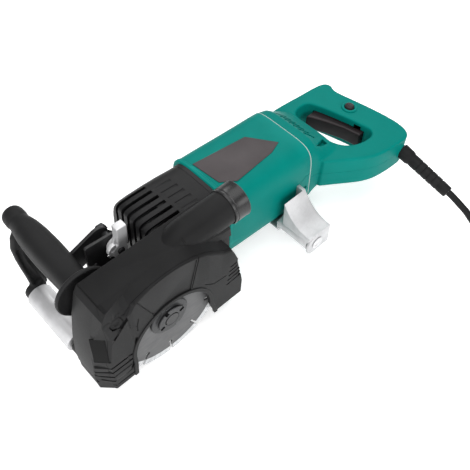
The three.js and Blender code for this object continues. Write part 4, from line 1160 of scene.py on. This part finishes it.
def handle_solid():
    """Loop and neck of the rear handle as one rounded solid, before the details are cut."""
    low = GRIP_Z["mid"] - GRIP_Z["half"]
    high = GRIP_Z["mid"] + GRIP_Z["half"] - 1.0
    loop = cut(
        prism(smooth_outline(LOOP_OUTLINE), "z", low, high),
        prism(smooth_outline(FINGER_HOLE), "z", low - 5, high + 5),
    )
    loop = bevel(loop, 8.5, 5, 50)
    neck = []
    neck.append(leaned(-249.4, motor_ring(0)))
    for x, y0, y1, z0, z1, power in [
        (-254, -126.8, -27.2, -30, 67.5, 4.6), (-260, -127, -27, -27, 64, 4.0),
        (-268, -128.5, -26, -22, 58.5, 3.6), (-277, -130.5, -24, -16, 52.5, 3.4),
        (-286, -131.5, -20, -10, 47, 3.2), (-293, -131, -17, -6, 43.5, 3.2),
    ]:
        neck.append(at_x(x, oval((y0 + y1) / 2, (z0 + z1) / 2, (y1 - y0) / 2, (z1 - z0) / 2, power, 96)))
    solid = join(loop, loft(neck))
    hole = prism(smooth_outline(FINGER_HOLE), "z", -60, 90)
    solid = soften(cut(solid, hole), 1.15, 7)
    behind = prism(
        [
            (-249.4 + SEAM_LEAN * (z - MOTOR["z"] + MOTOR["half"]), z)
            for z in (-60, 90)
        ] + [(-400, 90), (-400, -60)],
        "y",
        -150,
        40,
    )
    return common(solid, behind)


def trigger_plan(grow):
    """Seen from above: front edge bowed a little, ends rounded."""
    front = [(-315.8, -101.6), (-321, -91.5), (-328.5, -76), (-337, -54), (-341.5, -31.5)]
    back = [(-353, -33), (-348.3, -46), (-346.8, -55), (-341.5, -80), (-336.5, -102.5)]
    out = []
    for edge, side in ((front, 1), (back, -1)):
        for x, y in edge:
            end = 1 if y > -40 else -1 if y < -100 else 0
            out.append((x + side * grow, y + end * grow))
    return out


def gland_place():
    """Where the strain relief enters the handle, with +Y along its run."""
    turn = Vector((0, 1, 0)).rotation_difference(GLAND_RUN).to_matrix().to_4x4()
    return Matrix.Translation(GLAND_START) @ turn


def make_handle_shells():
    solid = handle_solid()
    mid = GRIP_Z["mid"]
    pull = Vector((-math.cos(TRIGGER_TURN), -math.sin(TRIGGER_TURN)))
    pocket = trigger_plan(0.6)
    cutters = []
    for t in (0, 2.5, 5):
        pulled = [(x + pull.x * t, y + pull.y * t) for x, y in pocket]
        cutters.append(prism(pulled, "z", mid - 11.6, mid + 11.6))
    switch_room = [(-336, -102), (-350, -36), (-377, -34), (-367, -101)]
    cutters.append(prism(switch_room, "z", mid - 16, mid + 16))
    neck_room = [(-249, -118), (-262, -119), (-279, -116), (-288, -98)]
    neck_room += [(-289, -52), (-286, -38), (-262, -35), (-249, -36)]
    cutters.append(prism(neck_room, "z", -18, 36))
    bore = [(0, -7), (7.6, -7), (7.6, 6.2), (9.9, 6.2), (9.9, 40), (0, 40)]
    cutters.append(moved(turned(bore, "y", (0, 0, 0), 48), gland_place()))
    high = mid + GRIP_Z["half"]
    ring_seat = [(0, mid + 6), (6.7, mid + 6), (6.7, high - 2.2), (9.0, high - 0.8)]
    ring_seat = turned(ring_seat + [(9.0, high + 9), (0, high + 9)], "z", LOCK, 48)
    lip = [(6.7, high - 4), (10.2, high - 4), (10.2, high + 0.2), (9.4, high + 1.0)]
    lip = turned(lip + [(7.6, high + 1.0), (6.7, high + 0.2), (6.7, high - 4)], "z", LOCK, 64)
    gills = []
    for y in (-100, -92, -84.5, -77.5, -70, -62, -53):
        spot = Matrix.Translation((-263.5, y, 0)) @ Matrix.Rotation(math.radians(-34), 4, "Z")
        cutters.append(moved(block(-7, 8, -2.0, 2.0, 30, 80), spot))
        gills.append(moved(block(-6.9, 7.9, -1.9, 1.9, 30, 80), spot))
    # Gill floors: the shell sunk 1.7 mm and clipped to the slots, in the darker green that paints the shade inside
    # them.
    sunk = moved(duplicate(solid), Matrix.Translation((0, 0, -1.7)))
    shade = common(sunk, join(*gills))
    place(shade, "neck_gill_painted_shade_floors", "machine", "gill_painted_shade", "handle_upper_shell", "green_plastic", 40)
    dimple = prism([(-283, -47), (-268, -41), (-258, -36), (-270, -36), (-284, -39)], "z", 42, 80)
    cutters.append(dimple)
    for x, y in ((-300, -124), (-370, -122), (-383, -8), (-300, -17)):
        cutters.append(turned([(0, -10), (3.4, -10), (3.4, 3.5), (0, 3.5)], "z", (x, y, 0), 32))
    solid = join(cut(solid, ring_seat), lip)
    solid = cut(solid, *cutters)
    lower = duplicate(solid)
    upper = common(solid, block(-410, -240, -150, 40, mid + 0.2, 90))
    lower = common(lower, block(-410, -240, -150, 40, -60, mid - 0.2))
    place(upper, "handle_shell_upper", "machine", "green", "handle_upper_shell", "green_plastic", 40)
    place(lower, "handle_shell_lower", "machine", "green", "handle_lower_shell", "green_plastic", 40)


def make_trigger():
    mid = GRIP_Z["mid"]
    body = bevel(prism(trigger_plan(0), "z", mid - 9, mid + 11), 2.2, 4, 25)
    strip = prism(trigger_plan(-3.4), "z", mid + 10.5, mid + 14)
    body = cut(body, strip)
    place(body, "trigger_paddle", "trigger", "trigger", "trigger", "trigger_plastic")


def make_lock_button():
    high = GRIP_Z["mid"] + GRIP_Z["half"]
    r = 6.1
    profile = [
        (0, high - 12), (r, high - 12), (r, high + 1.6), (r - 0.5, high + 2.8), (r - 1.6, high + 3.4),
        (3, high + 3.1), (0, high + 2.9),
    ]
    button = turned(profile, "z", LOCK, 64)
    place(button, "lock_button_cap", "lock_button", "trigger", "lock_on_button", "trigger_plastic")


# ---- cord ----
CORD_D = 8.5
CORD_LENGTH = 3.0
COIL_TURNS = 9.5
LAYER_TURNS = 2.2
CLIMB = math.radians(112)
TURN = 2 * math.pi
FLOOR = -75.0
COIL = {"x": -430.0, "y": 228.0}


def make_strain_relief():
    """Tapered sleeve with ring grooves round its middle and a collar at the housing."""
    profile = [
        (0, -5.5), (7.1, -5.5), (7.1, 6.4), (9.4, 6.4), (9.6, 8), (9.6, 20), (9.0, 22), (8.0, 24.5),
        (8.2, 27),
    ]
    for i in range(5):
        start = 30 + i * 8.5
        r = 8.3 - 0.012 * (start - 30)
        profile += [(r, start), (r, start + 6.6), (r - 0.7, start + 7.0), (r - 0.7, start + 8.0)]
    profile += [(7.7, 73), (7.5, 84.8), (6.9, 86), (0, 86)]
    sleeve = moved(turned(profile, "y", (0, 0, 0), 64), gland_place())
    return place(sleeve, "strain_relief_sleeve", "machine", "rubber", "strain_relief", "cord_rubber")


def coil_points(r_out, start_z):
    """Layers of flat spiral, in and out by turns, climbing one diameter where each one ends."""
    pitch = CORD_D + 0.15
    step = TURN / 24
    layer_turn = TURN * LAYER_TURNS + CLIMB
    points = []
    angle = step
    while angle < TURN * COIL_TURNS + 0.001:
        layer = int(angle // layer_turn)
        inside = angle - layer * layer_turn
        run = min(inside / TURN, LAYER_TURNS) * pitch
        r = r_out - run if layer % 2 == 0 else r_out - LAYER_TURNS * pitch + run
        rise = max(0.0, (inside - TURN * LAYER_TURNS) / CLIMB)
        z = start_z + pitch * (layer + rise * rise * (3 - 2 * rise))
        points.append(Vector((COIL["x"] + r * math.cos(angle), COIL["y"] + r * math.sin(angle), z)))
        angle += step
    return points


def cord_route(r_out):
    """Free stretch from the sleeve to the floor, the coil, and the tail into the plug."""
    lying = FLOOR + CORD_D / 2 + 0.3
    free = [
        (-378.2, 91.0, -26.8), (-378.2, 96, -28.0), (-378.2, 101, -29.6), (-378.3, 107, -31.8),
        (-378.3, 114, -34.6), (-378.4, 121, -37.4), (-378.4, 128, -41.8), (-378.5, 135, -46.6),
        (-378.5, 142, -51.4), (-378.5, 149, -56.0), (-378.5, 156, -60.2), (-378.5, 163, -63.9),
        (-378.5, 170, -66.8), (-378.4, 177, -68.9), (-378.2, 184, -70.1), (-377.6, 193, lying),
        (-376.4, 205, lying), (-375.0, 218, lying),
    ]
    coil = coil_points(r_out, lying)
    end = coil[-1]
    tail = [(end.x - 0.4, 216, end.z), (-482.6, 206, end.z - 0.4), (-482.2, 197, end.z - 1.8)]
    tail += [(-481.8, 188, end.z - 5.0), (-481.6, 180, -53.4), (-481.5, 174, -55.9), (-481.5, 169, -56.4)]
    return [Vector(p) for p in free] + coil + [Vector(p) for p in tail]


def smooth_route(points, parts=6):
    """Catmull-Rom points between the given ones."""
    out = []
    for i in range(len(points) - 1):
        a = points[max(i - 1, 0)]
        b, c = points[i], points[i + 1]
        d = points[min(i + 2, len(points) - 1)]
        for j in range(parts):
            t = j / parts
            out.append(
                0.5 * (
                    2 * b + (c - a) * t + (
                        2 * a - 5 * b + 4 * c - d
                    ) * t * t + (3 * b - a - 3 * c + d) * t ** 3
                )
            )
    return out + [points[-1]]


def route_length(points):
    return sum((b - a).length for a, b in zip(points, points[1:]))


def make_cord():
    """Finds the coil radius that gives the cord its length, then sweeps it."""
    low, high = 50.0, 60.0
    for _ in range(30):
        middle = (low + high) / 2
        if route_length(smooth_route(cord_route(middle))) * MM < CORD_LENGTH:
            low = middle
        else:
            high = middle
    points = smooth_route(cord_route(low), 2)
    curve = bpy.data.curves.new("mains_cord", "CURVE")
    curve.dimensions = "3D"
    spline = curve.splines.new("POLY")
    spline.points.add(len(points) - 1)
    for spot, point in zip(spline.points, points):
        spot.co = (*(BASE @ point), 1)
    curve.bevel_depth = CORD_D / 2 * MM
    curve.bevel_resolution = 6
    curve.use_fill_caps = True
    curve.materials.append(MATERIALS["rubber"])
    swept = add_object("mains_cord_curve", curve)
    bpy.context.view_layer.update()
    mesh = bpy.data.meshes.new_from_object(swept)
    bpy.data.objects.remove(swept)
    mesh.shade_smooth()
    cord = add_object("mains_cord", mesh)
    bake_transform(cord)
    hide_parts("power_cord", "cord_coil")
    ties = [make_tie(0.62, low), make_tie(2.25, low)]
    pieces = [make_plug(), make_strain_relief(), *ties]


def make_tie(angle, r_out):
    """A flat strap round all the turns of the coil."""
    inner = r_out - LAYER_TURNS * CORD_D - CORD_D / 2 - 2.4
    outer = r_out + CORD_D / 2 + 1.2
    z0 = FLOOR + 0.1
    z1 = FLOOR + 4 * CORD_D + 2.4
    strap = cut(
        block(inner, outer, -5, 5, z0, z1),
        block(inner + 1.2, outer - 1.2, -6, 6, z0 + 0.3, z1 - 1.2),
    )
    strap = bevel(strap, 0.5)
    turn = Matrix.Translation((COIL["x"], COIL["y"], 0)) @ Matrix.Rotation(angle, 4, "Z")
    return place(
        moved(strap, turn),
        f"coil_tie_{int(angle * 100)}",
        "base",
        "rubber",
        "cord_coil",
        "cord_rubber",
    )


PLUG = Vector((-481.5, 0, -56.4))
PIN_GAP = 9.5


def make_plug():
    """A two-pin moulded plug with finger grooves."""
    x, z = PLUG.x, PLUG.z
    stations = [
        (108, 16.4), (109, 17.4), (112, 17.8), (134, 17.6), (138, 16.6), (142, 14.6), (147, 11.4),
        (151, 8.6), (154, 7.2),
    ]
    sections = [at_y(y, oval(x, z, r, r, 2.3, 64)) for y, r in stations]
    body = loft(sections)
    face = bevel(prism(oval(x, z, 14.6, 8.2, 2.6, 48), "y", 106.6, 110), 0.8)
    neck = [(0, 150), (7.2, 150)]
    for i in range(4):
        start = 153 + i * 3.6
        neck += [
            (7.0 - 0.35 * i, start), (7.0 - 0.35 * i, start + 2.2), (5.6, start + 2.4), (5.6, start + 3.4),
        ]
    neck += [(5.4, 168), (4.9, 168.8), (0, 168.8)]
    neck = turned(neck, "y", (x, 0, z), 48)
    grips = [
        bevel(block(x + side * 17.9 - 1.2, x + side * 17.9 + 1.2, y, y + 2.4, z - 9, z + 9), 0.6)
        for side in (-1, 1) for y in (114, 119, 124, 129)
    ]
    whole = cut(join(body, face, neck), *grips)
    plug = place(whole, "plug_body", "base", "rubber", "plug", "cord_rubber")
    for side in (-1, 1):
        pin = turned([
            (0, 88.4), (1.6, 88.6), (2.4, 90), (2.4, 107.5), (0, 107.5),
        ], "y", (x + side * PIN_GAP, 0, z), 32)
        place(pin, f"plug_pin_{side + 2}", "base", "nickel", "plug", "cord_rubber")
    return plug


# ---- base plate and fasteners ----
def make_base_plate():
    plate = bevel(block(-228, -44, -126, -46.3, SOLE, -47.5), 0.5)
    window = prism(rounded_rect(-180, -100, -112, -62, 12), "z", SOLE - 2, -45)
    window = cut(window, block(-144, -136, -120, -50, -60, -40))
    front = bevel(block(-95, -44, -48, -41.3, SOLE, -47.5), 0.4)
    tab = bevel(block(-95, -62, -43.6, -41.3, SOLE, -22), 0.5)
    rail = bevel(block(-242, -208, -131, -118, SOLE, -47.5), 0.4)
    ear = bevel(prism(ear_outline(-212), "y", -131, -127.3), 0.7)
    plate = join(cut(plate, window), front, tab, rail, ear)
    holes = [round_bar(PIVOT.x, PIVOT.z, PIVOT_HOLE_R, -136, -124)]
    holes += [round_bar(x, -32, 2.8, -46, -40) for x in (-88, -70)]
    place(cut(plate, *holes), "base_plate_pressing", "base", "steel", "base_plate", "steel")


FRONT_PIECES = (
    make_guard,
    make_guard_inlay,
    make_dust_collar,
    make_cover_bolt,
    make_front_handle,
    make_hand_guard,
    make_rollers,
    make_rear_bracket,
    make_discs,
    make_clamp_nut,
    make_depth_clamp,
    make_depth_quadrant,
)
REAR_PIECES = (
    make_vent_cover,
    make_motor_housing,
    make_seam,
    make_handle_shells,
    make_trigger,
    make_lock_button,
)

make_camera()
make_cord()
dress_cad_nodes()
make_studio()
for make in FRONT_PIECES + REAR_PIECES:
    make()
make_base_plate()
